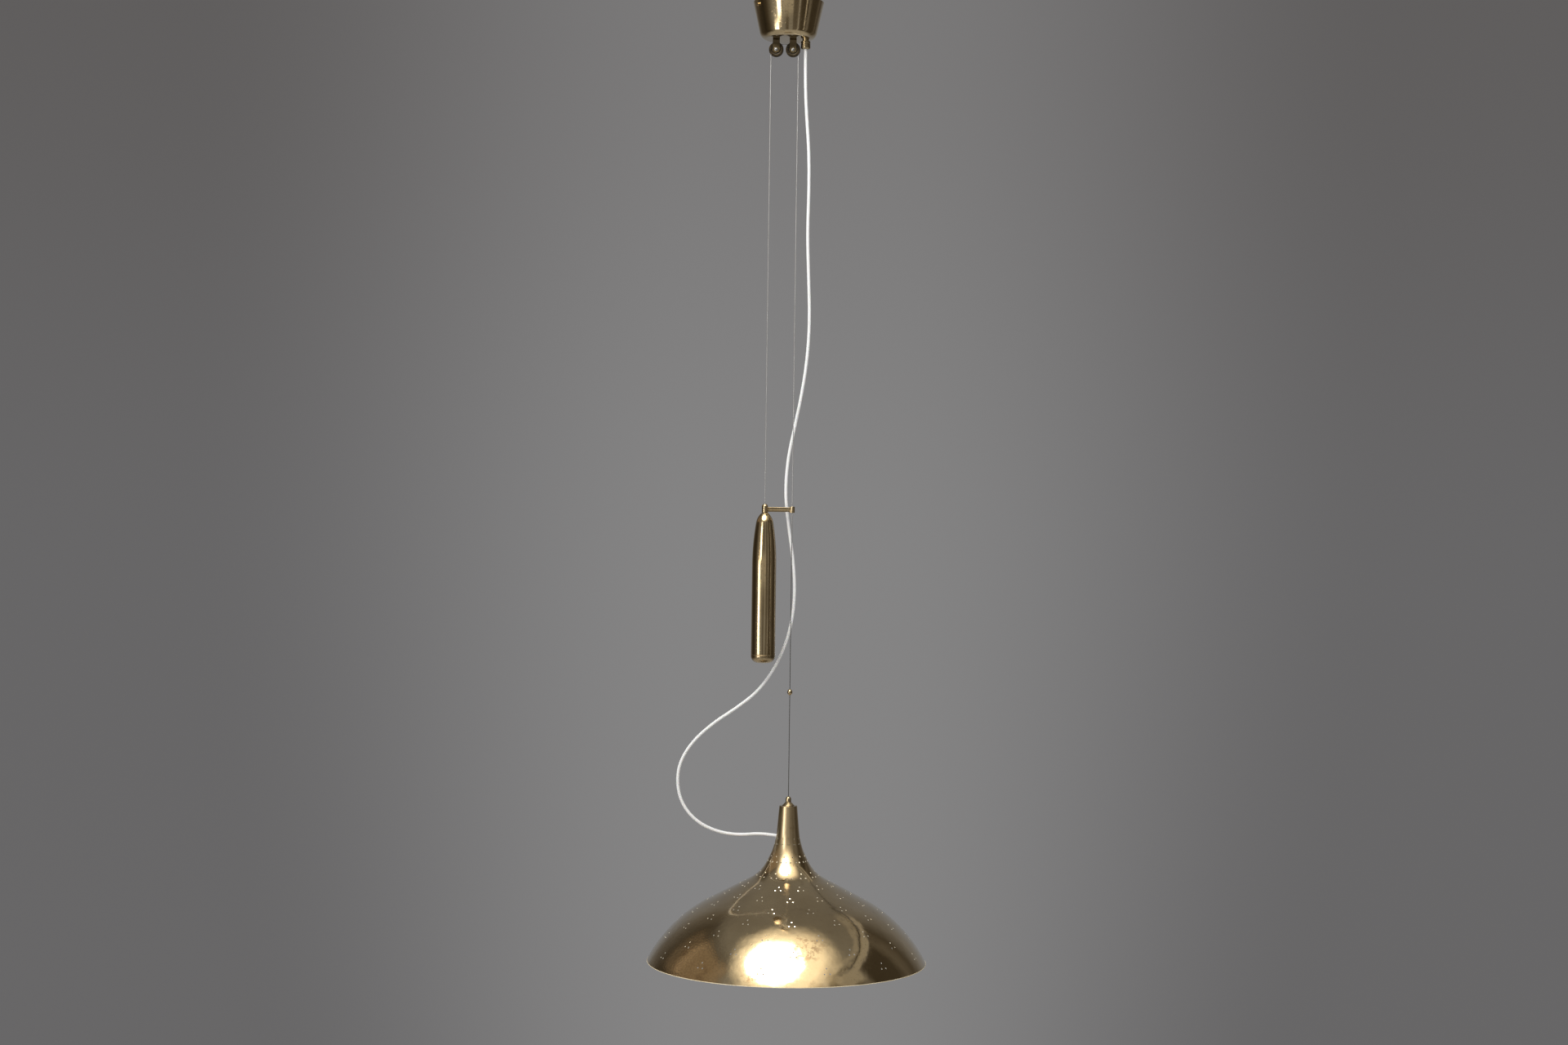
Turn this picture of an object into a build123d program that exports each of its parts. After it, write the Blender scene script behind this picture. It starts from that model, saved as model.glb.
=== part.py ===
"""Rise-and-fall ceiling light in polished brass.

A bell-shaped shade and a slim counterweight hang on one steel wire that runs over
two pulleys under a ceiling canopy. The weight carries an arm with an eye that runs
on the lamp's wire, and a loose white cord feeds the lamp.
Millimetres, +Z up, origin on the ceiling at the canopy's axis, front towards -Y.
"""

import math
import os

from build123d import *

os.makedirs("parts", exist_ok=True)

# Ceiling canopy and the bracket inside it
canopy_rim_d = 122.4
canopy_base_d = 94.0
canopy_height = 63.0
canopy_wall = 1.0
canopy_corner_r = 13.0
bracket_gauge = 2.0
bracket_width = 20.0
bracket_bearing = 30.0
bracket_bend_r = 3.0
bracket_clearance = 0.4
ear_height = 15.0
canopy_screw_drop = 9.5
canopy_screw_d = 4.0
canopy_screw_head_d = 6.0
canopy_screw_head_h = 2.4
canopy_screw_grip = 2.0
screw_slot_width = 1.0
screw_slot_depth = 1.2
ceiling_screw_pcd = 90.0
ceiling_screw_hole_d = 4.5
cable_hole_d = 12.0

# Terminal block under the bracket
block_pole_pitch = 8.0
block_poles = 3
block_depth = 16.0
block_height = 11.0
block_station = 25.0
block_entry_d = 3.0
terminal_screw_d = 3.0
terminal_screw_row = 8.0
terminal_screw_well = 3.0
terminal_screw_h = 1.8
block_screw_d = 2.5
block_screw_head_d = 4.6
block_screw_head_h = 1.8
earth_screw_d = 4.0
earth_screw_station = 25.0
earth_screw_head_d = 8.0
earth_screw_head_h = 2.8

# Pulleys
pulley_spacing = 29.0
pulley_middle_x = -6.0
pulley_drop = 17.5
wheel_d = 25.2
wheel_width = 6.0
wheel_hub_d = 10.0
wheel_dish = 1.2
wheel_side_clearance = 0.5
wire_d = 1.2
wire_turn_r = 9.0
wire_clearance = 0.25
groove_lip = 0.8
strap_width = 12.0
strap_gauge = 1.5
axle_d = 4.0
axle_clearance = 0.05
axle_head_d = 7.0
axle_head_h = 1.4
fork_screw_d = 3.5
fork_screw_head_d = 6.2
fork_screw_head_h = 1.8
fork_screw_proud = 1.5
fork_washer_d = 9.0
fork_washer_h = 1.0
fork_nut_width = 7.0
fork_nut_h = 3.0
screw_clearance = 0.2

# Cord grip in the canopy floor
gland_x = 30.0
gland_stem_d = 10.0
gland_stem_h = 10.0
gland_neck_d = 11.5
gland_neck_h = 3.0
gland_spigot_h = 8.0
gland_nut_d = 16.5
gland_nut_h = 13.6
gland_nut_floor = 3.0
gland_nut_chamfer = 2.0
gland_locknut_width = 13.0
gland_locknut_h = 3.0
cord_d = 5.4
cord_clearance = 0.15
thread_clearance = 0.1
core_d = 2.0
core_bend = 0.45
core_ring_r = 1.4
core_ring_turn = 210.0
core_lead = 6.0
core_climb = 10.0

# Counterweight
weight_top_drop = 877.0
weight_d = 42.0
weight_length = 259.0
weight_nose_d = 30.0
weight_nose_h = 17.6
weight_tip_d = 9.0
weight_taper_h = 90.0
weight_wall = 1.5
weight_cap_h = 14.0
weight_cap_edge_r = 12.0
weight_cap_spigot = 6.0
ballast_length = 146.0
fit_clearance = 0.1
post_d = 11.0
post_h = 15.0
post_spigot_d = 6.0
wire_bore_d = 1.5
ferrule_d = 4.0
ferrule_h = 6.0
set_screw_d = 3.0
set_screw_length = 4.0
set_screw_drop = 4.5
set_screw_bearing = 22.0
arm_height = 8.0
arm_gauge = 3.0
arm_lift = 1.0
eye_d = 8.8
eye_bore_d = 2.4
eye_h = 10.7

# Stop bead on the lamp's wire
bead_drop = 1186.0
bead_d = 9.0
bead_h = 10.5
bead_tip_d = 2.6
bead_screw_d = 2.0

# Lamp head
lamp_drop = 1381.0
shade_d = 480.0
shade_height = 267.5
shade_wall = 0.8
shade_hem_h = 1.2
shade_hem_wall = 2.4
neck_top_d = 30.6
neck_depth = 67.3
neck_d = 42.6
flare_depth = 115.6
flare_d = 91.4
dome_depth = 162.5
dome_d = 270.0
neck_blend_r = 120.0
flare_r = 72.0
nipple_d = 9.7
nipple_h = 10.0
nipple_roof = 3.0
nipple_thread = 5.0
neck_cap_d = 21.5
neck_cap_h = 6.0
stem_d = 8.0
stem_bore_d = 5.0
stem_washer_d = 20.0
stem_washer_h = 1.5
stem_nut_width = 13.0
stem_nut_h = 5.0

# Cord inlet in the neck
inlet_depth = 55.0
inlet_bearing = 130.0
grommet_d = 11.0
grommet_stand = 1.8
grommet_edge_r = 0.6
grommet_length = 7.5
grommet_sleeve_d = 8.0
cord_lead_in = 24.0

# Lampholder and bulb
holder_depth = 71.0
holder_d = 37.0
holder_cap_top_d = 22.0
holder_cap_h = 14.0
holder_wall = 1.6
holder_length = 56.0
insert_h = 16.0
insert_clearance = 0.3
insert_chamfer = 0.9
insert_ledge = 1.0
thread_shell_d = 28.4
thread_shell_wall = 0.5
contact_width = 5.0
contact_height = 2.0
bulb_base_d = 26.2
bulb_base_h = 25.0
bulb_tip_d = 11.0
bulb_tip_h = 4.0
bulb_d = 60.0
bulb_glass_h = 80.0
bulb_glass_wall = 1.0

# Heights and stations worked out from the sizes above
canopy_floor_z = -canopy_height
axle_z = canopy_floor_z - pulley_drop
axle_stations = {
    "left": pulley_middle_x - pulley_spacing / 2,
    "right": pulley_middle_x + pulley_spacing / 2,
}
weight_x = axle_stations["left"] - wire_turn_r
lamp_x = axle_stations["right"] + wire_turn_r
wire_start_z = axle_z - wire_turn_r / 2
weight_top_z = -weight_top_drop
weight_bottom_z = weight_top_z - weight_length
cap_seam_z = weight_bottom_z + weight_cap_h
post_top_z = weight_top_z + post_h
cavity_top_z = weight_top_z - weight_nose_h
arm_z = weight_top_z + arm_lift + arm_height / 2
bead_z = -bead_drop
bead_top_z = bead_z + bead_h / 2
neck_top_z = -lamp_drop
cap_top_z = neck_top_z + neck_cap_h
nipple_top_z = cap_top_z + nipple_h
stem_top_z = cap_top_z + nipple_thread
holder_top_z = neck_top_z - holder_depth
holder_seam_z = holder_top_z - holder_cap_h
holder_mouth_z = holder_top_z - holder_length
insert_top_z = holder_seam_z - insert_clearance
insert_bottom_z = insert_top_z - insert_h
rim_z = neck_top_z - shade_height
inlet_z = neck_top_z - inlet_depth


def upright_plane(x):
    """Plane facing the front, with local y up, through the vertical line at x."""
    return Plane(origin=(x, 0, 0), x_dir=(1, 0, 0), z_dir=(0, -1, 0))


def upright_axis(x):
    """Vertical axis at x."""
    return Axis((x, 0, 0), (0, 0, 1))


def compass(bearing, distance, across=0.0):
    """X and Y of a point at a distance along a bearing, and a distance across it."""
    angle = math.radians(bearing)
    return (
        distance * math.cos(angle) - across * math.sin(angle),
        distance * math.sin(angle) + across * math.cos(angle),
    )


def canopy_radius(z):
    """Outside radius of the canopy's tapered wall at a height."""
    return canopy_rim_d / 2 + (canopy_rim_d - canopy_base_d) / 2 * z / canopy_height


def corner_radii(points, share=0.45):
    """Radius for each corner of a route, as large as its shorter run allows."""
    runs = [Vector(*b) - Vector(*a) for a, b in zip(points, points[1:])]
    radii = []
    for run, following in zip(runs, runs[1:]):
        half_turn = math.radians(run.get_angle(following)) / 2
        radii.append(share * min(run.length, following.length) / math.tan(half_turn))
    return radii


# Canopy: a spun cup, its mouth against the ceiling, drilled for what hangs from it
with BuildPart() as canopy:
    with BuildSketch(Plane.XZ):
        with BuildLine():
            Polyline(
                (0, 0),
                (canopy_rim_d / 2, 0),
                (canopy_base_d / 2, canopy_floor_z),
                (0, canopy_floor_z),
                close=True,
            )
        make_face()
        corner = vertices().group_by(Axis.Y)[0].sort_by(Axis.X)[-1]
        fillet(corner, radius=canopy_corner_r)
    revolve(axis=Axis.Z)
    offset(amount=-canopy_wall, openings=faces().sort_by(Axis.Z)[-1])
    with Locations((axle_stations["left"], 0, canopy_floor_z), (axle_stations["right"], 0, canopy_floor_z)):
        Hole(radius=fork_screw_d / 2 + screw_clearance)
    with Locations((gland_x, 0, canopy_floor_z)):
        Hole(radius=gland_stem_d / 2 + screw_clearance)
    with BuildSketch(Plane(origin=(0, 0, -canopy_screw_drop), z_dir=(*compass(bracket_bearing, 1), 0))):
        Circle(canopy_screw_d / 2 + screw_clearance)
    extrude(amount=canopy_rim_d, both=True, mode=Mode.SUBTRACT)
canopy.part.label = "canopy"
export_step(canopy.part, "parts/canopy.step")

# Bracket: a steel strip with two ears bent down inside the canopy's wall
ear_corner_r = canopy_radius(-ear_height) - canopy_wall - bracket_clearance
bracket_reach = math.sqrt(ear_corner_r**2 - (bracket_width / 2) ** 2)
bracket_plane = Plane(origin=(0, 0, 0), x_dir=(*compass(bracket_bearing, 1), 0), z_dir=(0, 0, 1))
bracket_side = Plane(
    origin=(0, 0, 0),
    x_dir=(*compass(bracket_bearing, 1), 0),
    z_dir=(*compass(bracket_bearing, 0, -1), 0),
)
with BuildPart() as ceiling_bracket:
    with BuildSketch(bracket_side):
        with BuildLine():
            Polyline(
                (-bracket_reach, -ear_height),
                (-bracket_reach, 0),
                (bracket_reach, 0),
                (bracket_reach, -ear_height),
                (bracket_reach - bracket_gauge, -ear_height),
                (bracket_reach - bracket_gauge, -bracket_gauge),
                (bracket_gauge - bracket_reach, -bracket_gauge),
                (bracket_gauge - bracket_reach, -ear_height),
                close=True,
            )
        make_face()
        fillet(vertices().group_by(Axis.Y)[-1], radius=bracket_bend_r)
    extrude(amount=bracket_width / 2, both=True)
    with BuildSketch(bracket_plane.offset(-bracket_gauge)):
        Circle(cable_hole_d / 2)
        with PolarLocations(ceiling_screw_pcd / 2, 2):
            Circle(ceiling_screw_hole_d / 2)
        with Locations((block_station + block_pole_pitch / 2, 0)):
            Circle(block_screw_d / 2)
        with Locations((-earth_screw_station, 0)):
            Circle(earth_screw_d / 2)
    extrude(amount=bracket_gauge, mode=Mode.SUBTRACT)
    with BuildSketch(Plane(origin=(0, 0, -canopy_screw_drop), z_dir=(*compass(bracket_bearing, 1), 0))):
        Circle(canopy_screw_d / 2)
    extrude(amount=canopy_rim_d, both=True, mode=Mode.SUBTRACT)
ceiling_bracket.part.label = "ceiling_bracket"
export_step(ceiling_bracket.part, "parts/ceiling_bracket.step")

# Two slotted screws that hold the canopy to the bracket's ears
screw_seat = canopy_radius(canopy_screw_head_d / 2 - canopy_screw_drop)
screw_reach = screw_seat - bracket_reach + bracket_gauge + canopy_screw_grip
with BuildPart() as canopy_screws:
    for bearing in (bracket_bearing, bracket_bearing + 180):
        outward = (*compass(bearing, 1), 0)
        head_plane = Plane(origin=(*compass(bearing, screw_seat), -canopy_screw_drop), z_dir=outward)
        with BuildSketch(head_plane):
            Circle(canopy_screw_head_d / 2)
        extrude(amount=canopy_screw_head_h)
        with BuildSketch(head_plane):
            Circle(canopy_screw_d / 2)
        extrude(amount=-screw_reach)
        with BuildSketch(head_plane.offset(canopy_screw_head_h)):
            Rectangle(canopy_screw_head_d, screw_slot_width)
        extrude(amount=-screw_slot_depth, mode=Mode.SUBTRACT)
canopy_screws.part.label = "canopy_screws"
export_step(canopy_screws.part, "parts/canopy_screws.step")

# Terminal block: a moulded strip with a pair of clamping screws for each pole
block_length = block_poles * block_pole_pitch
block_plane = Plane(
    origin=(*compass(bracket_bearing, block_station), -bracket_gauge),
    x_dir=(*compass(bracket_bearing, 1), 0),
    z_dir=(0, 0, -1),
)
pole_offsets = [(pole - (block_poles - 1) / 2) * block_pole_pitch for pole in range(block_poles)]
entry_level = block_height / 2
with BuildPart() as terminal_block:
    with BuildSketch(block_plane):
        Rectangle(block_length, block_depth)
    extrude(amount=block_height)
    fillet(terminal_block.edges().filter_by(Axis.Z), radius=core_d / 2)
    with BuildSketch(block_plane.offset(block_height)):
        with GridLocations(block_pole_pitch, terminal_screw_row, block_poles, 2):
            Circle(terminal_screw_d / 2 + screw_clearance)
    extrude(amount=-terminal_screw_well, mode=Mode.SUBTRACT)
    with BuildSketch(block_plane):
        with Locations((block_pole_pitch / 2, 0)):
            Circle(block_screw_d / 2 + screw_clearance)
    extrude(amount=block_height, mode=Mode.SUBTRACT)
    entry_plane = Plane(
        origin=block_plane.from_local_coords((0, 0, entry_level)),
        x_dir=block_plane.x_dir,
        z_dir=block_plane.y_dir,
    )
    with BuildSketch(entry_plane):
        with Locations(*[(offset_along, 0) for offset_along in pole_offsets]):
            Circle(block_entry_d / 2)
    extrude(amount=block_depth, both=True, mode=Mode.SUBTRACT)
terminal_block.part.label = "terminal_block"
export_step(terminal_block.part, "parts/terminal_block.step")

with BuildPart() as terminal_screws:
    with BuildSketch(block_plane.offset(block_height - terminal_screw_well)):
        with GridLocations(block_pole_pitch, terminal_screw_row, block_poles, 2):
            Circle(terminal_screw_d / 2)
    extrude(amount=terminal_screw_h)
terminal_screws.part.label = "terminal_screws"
export_step(terminal_screws.part, "parts/terminal_screws.step")

with BuildPart() as block_screw:
    with BuildSketch(block_plane.offset(block_height)):
        with Locations((block_pole_pitch / 2, 0)):
            Circle(block_screw_head_d / 2)
    extrude(amount=block_screw_head_h)
    with BuildSketch(block_plane.offset(-bracket_gauge)):
        with Locations((block_pole_pitch / 2, 0)):
            Circle(block_screw_d / 2)
    extrude(amount=block_height + bracket_gauge)
block_screw.part.label = "block_screw"
export_step(block_screw.part, "parts/block_screw.step")

# Earth screw in the bracket's other arm
earth_x, earth_y = compass(bracket_bearing, -earth_screw_station)
with BuildPart() as earth_screw:
    with BuildSketch(Plane(origin=(earth_x, earth_y, -bracket_gauge), z_dir=(0, 0, -1))):
        Circle(earth_screw_head_d / 2)
    extrude(amount=earth_screw_head_h)
    with BuildSketch(Plane(origin=(earth_x, earth_y, -bracket_gauge), z_dir=(0, 0, 1))):
        Circle(earth_screw_d / 2 - fit_clearance)
    extrude(amount=bracket_gauge)
earth_screw.part.label = "earth_screw"
export_step(earth_screw.part, "parts/earth_screw.step")

# Pulley forks, axles and wheels, one set for each end of the wire's level run
fork_gap = wheel_width + 2 * wheel_side_clearance
fork_depth = fork_gap + 2 * strap_gauge
groove_root_r = wire_turn_r - wire_d / 2 - wire_clearance
groove_root_half = wire_d / 2 + wire_clearance
groove_mouth_half = wheel_width / 2 - groove_lip
for side, axle_x in axle_stations.items():
    with BuildPart() as pulley_fork:
        with BuildSketch(Plane.XZ.offset(-fork_depth / 2)):
            with Locations((axle_x, (canopy_floor_z + axle_z) / 2)):
                Rectangle(strap_width, pulley_drop)
            with Locations((axle_x, axle_z)):
                Circle(strap_width / 2)
        extrude(amount=fork_depth)
        bends = edges().filter_by(Axis.X).group_by(Axis.Z)[-1]
        fillet(bends, radius=strap_gauge)
        with BuildSketch(Plane.XZ.offset(-fork_gap / 2)):
            with Locations((axle_x, canopy_floor_z - strap_gauge - pulley_drop)):
                Rectangle(strap_width, 2 * pulley_drop)
        extrude(amount=fork_gap, mode=Mode.SUBTRACT)
        with BuildSketch(Plane.XZ):
            with Locations((axle_x, axle_z)):
                Circle(axle_d / 2)
        extrude(amount=fork_depth, both=True, mode=Mode.SUBTRACT)
        with Locations((axle_x, 0, canopy_floor_z)):
            Hole(radius=fork_screw_d / 2 + screw_clearance)
    pulley_fork.part.label = f"{side}_pulley_fork"
    export_step(pulley_fork.part, f"parts/{side}_pulley_fork.step")

    axle_plane = Plane(origin=(axle_x, 0, axle_z), x_dir=(1, 0, 0), z_dir=(0, 0, 1))
    axle_line = Axis((axle_x, 0, axle_z), (0, 1, 0))
    with BuildPart() as pulley_axle:
        with BuildSketch(axle_plane):
            with BuildLine():
                Line((0, 0), (axle_d / 2, 0))
                Line((axle_d / 2, 0), (axle_d / 2, fork_depth / 2))
                Line((axle_d / 2, fork_depth / 2), (axle_head_d / 2, fork_depth / 2))
                head_top = fork_depth / 2 + axle_head_h
                TangentArc((0, head_top), (axle_head_d / 2, fork_depth / 2), tangent=(1, 0))
                Line((0, head_top), (0, 0))
            make_face()
        revolve(axis=axle_line)
        mirror(about=Plane.XZ)
    pulley_axle.part.label = f"{side}_pulley_axle"
    export_step(pulley_axle.part, f"parts/{side}_pulley_axle.step")

    with BuildPart() as pulley_wheel:
        with BuildSketch(axle_plane):
            with BuildLine():
                Polyline(
                    (axle_d / 2 + axle_clearance, 0),
                    (axle_d / 2 + axle_clearance, wheel_width / 2),
                    (wheel_hub_d / 2, wheel_width / 2),
                    (wheel_hub_d / 2, wheel_width / 2 - wheel_dish),
                    (groove_root_r, wheel_width / 2 - wheel_dish),
                    (groove_root_r, wheel_width / 2),
                    (wheel_d / 2, wheel_width / 2),
                    (wheel_d / 2, groove_mouth_half),
                    (groove_root_r, groove_root_half),
                    (groove_root_r, 0),
                    close=True,
                )
            make_face()
        revolve(axis=axle_line)
        mirror(about=Plane.XZ)
    pulley_wheel.part.label = f"{side}_pulley_wheel"
    export_step(pulley_wheel.part, f"parts/{side}_pulley_wheel.step")

# Screws, washers and nuts that clamp both forks to the canopy's floor
bridge_z = canopy_floor_z - strap_gauge
floor_inside_z = canopy_floor_z + canopy_wall
fork_nut_z = floor_inside_z + fork_washer_h
axle_points = [(axle_x, 0) for axle_x in axle_stations.values()]
with BuildPart() as fork_screws:
    with BuildSketch(Plane.XY.offset(bridge_z)):
        with Locations(*axle_points):
            Circle(fork_screw_head_d / 2)
    extrude(amount=-fork_screw_head_h)
    with BuildSketch(Plane.XY.offset(bridge_z)):
        with Locations(*axle_points):
            Circle(fork_screw_d / 2)
    extrude(amount=fork_nut_z + fork_nut_h + fork_screw_proud - bridge_z)
fork_screws.part.label = "fork_screws"
export_step(fork_screws.part, "parts/fork_screws.step")

with BuildPart() as fork_washers:
    with BuildSketch(Plane.XY.offset(floor_inside_z)):
        with Locations(*axle_points):
            Circle(fork_washer_d / 2)
            Circle(fork_screw_d / 2 + screw_clearance, mode=Mode.SUBTRACT)
    extrude(amount=fork_washer_h)
fork_washers.part.label = "fork_washers"
export_step(fork_washers.part, "parts/fork_washers.step")

with BuildPart() as fork_nuts:
    with BuildSketch(Plane.XY.offset(fork_nut_z)):
        with Locations(*axle_points):
            RegularPolygon(fork_nut_width / 2, 6, major_radius=False)
            Circle(fork_screw_d / 2, mode=Mode.SUBTRACT)
    extrude(amount=fork_nut_h)
fork_nuts.part.label = "fork_nuts"
export_step(fork_nuts.part, "parts/fork_nuts.step")

# Cord grip: body through the canopy's floor, locknut above, cap nut and seal below
gland_neck_z = canopy_floor_z - gland_neck_h
gland_spigot_z = gland_neck_z - gland_spigot_h
gland_mouth_z = gland_neck_z - gland_nut_h
gland_seat_z = gland_mouth_z + gland_nut_floor
gland_top_z = canopy_floor_z + gland_stem_h
cord_bore_r = cord_d / 2 + cord_clearance
nut_bore_r = gland_neck_d / 2 + thread_clearance
with BuildPart() as gland_body:
    with BuildSketch(upright_plane(gland_x)):
        with BuildLine():
            Polyline(
                (cord_bore_r, gland_spigot_z),
                (gland_neck_d / 2, gland_spigot_z),
                (gland_neck_d / 2, canopy_floor_z),
                (gland_stem_d / 2, canopy_floor_z),
                (gland_stem_d / 2, gland_top_z),
                (cord_bore_r, gland_top_z),
                close=True,
            )
        make_face()
    revolve(axis=upright_axis(gland_x))
gland_body.part.label = "gland_body"
export_step(gland_body.part, "parts/gland_body.step")

with BuildPart() as gland_nut:
    with BuildSketch(upright_plane(gland_x)):
        with BuildLine():
            Polyline(
                (cord_bore_r, gland_mouth_z),
                (gland_nut_d / 2 - gland_nut_chamfer, gland_mouth_z),
                (gland_nut_d / 2, gland_mouth_z + gland_nut_chamfer),
                (gland_nut_d / 2, gland_neck_z),
                (nut_bore_r, gland_neck_z),
                (nut_bore_r, gland_seat_z),
                (cord_bore_r, gland_seat_z),
                close=True,
            )
        make_face()
    revolve(axis=upright_axis(gland_x))
gland_nut.part.label = "gland_nut"
export_step(gland_nut.part, "parts/gland_nut.step")

with BuildPart() as gland_seal:
    with BuildSketch(Plane.XY.offset(gland_seat_z)):
        with Locations((gland_x, 0)):
            Circle(gland_neck_d / 2)
            Circle(cord_bore_r, mode=Mode.SUBTRACT)
    extrude(amount=gland_spigot_z - gland_seat_z)
gland_seal.part.label = "gland_seal"
export_step(gland_seal.part, "parts/gland_seal.step")

with BuildPart() as gland_locknut:
    with BuildSketch(Plane.XY.offset(floor_inside_z)):
        with Locations((gland_x, 0)):
            RegularPolygon(gland_locknut_width / 2, 6, major_radius=False, rotation=30)
            Circle(gland_stem_d / 2, mode=Mode.SUBTRACT)
    extrude(amount=gland_locknut_h)
gland_locknut.part.label = "gland_locknut"
export_step(gland_locknut.part, "parts/gland_locknut.step")

# Sheathed end of the cord inside the grip, and the cores from it to the terminals
sheath_end_z = gland_top_z + cord_d
with BuildPart() as cord_canopy_end:
    with BuildSketch(Plane.XY.offset(gland_mouth_z)):
        with Locations((gland_x, 0)):
            Circle(cord_d / 2)
    extrude(amount=sheath_end_z - gland_mouth_z)
cord_canopy_end.part.label = "cord_canopy_end"
export_step(cord_canopy_end.part, "parts/cord_canopy_end.step")

entry_z = -bracket_gauge - entry_level
core_rise = sheath_end_z + core_lead
core_stand = block_depth / 2 + core_lead
with BuildPart() as canopy_cores:
    for pole, along in enumerate(pole_offsets):
        ring_x, ring_y = compass(bracket_bearing + core_ring_turn - 360 / block_poles * pole, core_ring_r)
        start_x = gland_x + ring_x
        start_y = ring_y
        gate = compass(bracket_bearing, block_station + along, -core_stand)
        face = compass(bracket_bearing, block_station + along, -block_depth / 2)
        route = [
            (start_x, start_y, sheath_end_z),
            (start_x, start_y, core_rise),
            (*gate, entry_z - core_climb),
            (*gate, entry_z),
            (*face, entry_z),
        ]
        with BuildLine() as core_line:
            FilletPolyline(*route, radius=corner_radii(route, core_bend))
        with BuildSketch(Plane(origin=route[0], z_dir=(0, 0, 1))):
            Circle(core_d / 2)
        sweep(path=core_line.line)
canopy_cores.part.label = "canopy_cores"
export_step(canopy_cores.part, "parts/canopy_cores.step")

# Steel wire: over both wheels, down to the weight and down to the lamp's stop bead
with BuildPart() as pulley_wire:
    wire_level_z = axle_z + wire_turn_r
    with BuildLine() as wire_line:
        FilletPolyline(
            (weight_x, 0, wire_start_z),
            (weight_x, 0, wire_level_z),
            (lamp_x, 0, wire_level_z),
            (lamp_x, 0, wire_start_z),
            radius=wire_turn_r,
        )
    with BuildSketch(Plane.XY.offset(wire_start_z)):
        with Locations((weight_x, 0)):
            Circle(wire_d / 2)
    sweep(path=wire_line.line)
pulley_wire.part.label = "pulley_wire"
export_step(pulley_wire.part, "parts/pulley_wire.step")

with BuildPart() as counterweight_wire:
    with BuildSketch(Plane.XY.offset(post_top_z)):
        with Locations((weight_x, 0)):
            Circle(wire_d / 2)
    extrude(amount=wire_start_z - post_top_z)
counterweight_wire.part.label = "counterweight_wire"
export_step(counterweight_wire.part, "parts/counterweight_wire.step")

with BuildPart() as lamp_wire:
    with BuildSketch(Plane.XY.offset(bead_top_z)):
        with Locations((lamp_x, 0)):
            Circle(wire_d / 2)
    extrude(amount=wire_start_z - bead_top_z)
lamp_wire.part.label = "lamp_wire"
export_step(lamp_wire.part, "parts/lamp_wire.step")


def weight_outline(inset, tip_r, top_z, bottom_z):
    """Half outline of the weight's ogive, drawn in by an inset and closed on its axis."""
    full_r = weight_d / 2 - inset
    nose_r = weight_nose_d / 2 - inset
    taper_z = weight_top_z - weight_taper_h
    nose_z = weight_top_z - weight_nose_h
    Line((0, bottom_z), (full_r, bottom_z))
    Line((full_r, bottom_z), (full_r, taper_z))
    ogive = TangentArc((full_r, taper_z), (nose_r, nose_z), tangent=(0, 1))
    if top_z > nose_z:
        TangentArc(ogive @ 1, (tip_r, top_z), tangent=ogive % 1)
        Line((tip_r, top_z), (0, top_z))
    else:
        Line(ogive @ 1, (0, nose_z))
    Line((0, max(top_z, nose_z)), (0, bottom_z))


# Counterweight casing: a drawn brass tube with a solid nose, closed by a turned cap
set_screw_z = weight_top_z - set_screw_drop
set_screw_out = compass(set_screw_bearing - 90, 1)
spigot_end_z = cavity_top_z
with BuildPart() as counterweight_casing:
    with BuildSketch(upright_plane(weight_x)):
        with BuildLine():
            weight_outline(0, weight_tip_d / 2, weight_top_z, cap_seam_z)
        make_face()
    revolve(axis=upright_axis(weight_x))
    with BuildSketch(upright_plane(weight_x)):
        with BuildLine():
            weight_outline(weight_wall, 0, cavity_top_z, cap_seam_z)
        make_face()
    revolve(axis=upright_axis(weight_x), mode=Mode.SUBTRACT)
    with Locations((weight_x, 0, weight_top_z)):
        Hole(radius=post_spigot_d / 2 + fit_clearance, depth=2 * weight_nose_h)
    with BuildSketch(Plane(origin=(weight_x, 0, set_screw_z), z_dir=(*set_screw_out, 0))):
        Circle(set_screw_d / 2)
    extrude(amount=weight_d, mode=Mode.SUBTRACT)
counterweight_casing.part.label = "counterweight_casing"
export_step(counterweight_casing.part, "parts/counterweight_casing.step")

with BuildPart() as counterweight_set_screw:
    screw_start_r = post_spigot_d / 2 + fit_clearance
    screw_origin = (weight_x + set_screw_out[0] * screw_start_r, set_screw_out[1] * screw_start_r, set_screw_z)
    with BuildSketch(Plane(origin=screw_origin, z_dir=(*set_screw_out, 0))):
        Circle(set_screw_d / 2 - fit_clearance)
    extrude(amount=set_screw_length)
counterweight_set_screw.part.label = "counterweight_set_screw"
export_step(counterweight_set_screw.part, "parts/counterweight_set_screw.step")

# Cast ballast, resting on the cap's spigot and lying inside the casing
ballast_bottom_z = cap_seam_z + weight_cap_spigot
ballast_top_z = ballast_bottom_z + ballast_length
with BuildPart() as counterweight_ballast:
    with BuildSketch(upright_plane(weight_x)):
        with BuildLine():
            weight_outline(weight_wall + fit_clearance, 0, cavity_top_z, ballast_bottom_z)
        make_face()
    revolve(axis=upright_axis(weight_x))
    split(bisect_by=Plane.XY.offset(ballast_top_z), keep=Keep.BOTTOM)
counterweight_ballast.part.label = "counterweight_ballast"
export_step(counterweight_ballast.part, "parts/counterweight_ballast.step")

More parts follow.
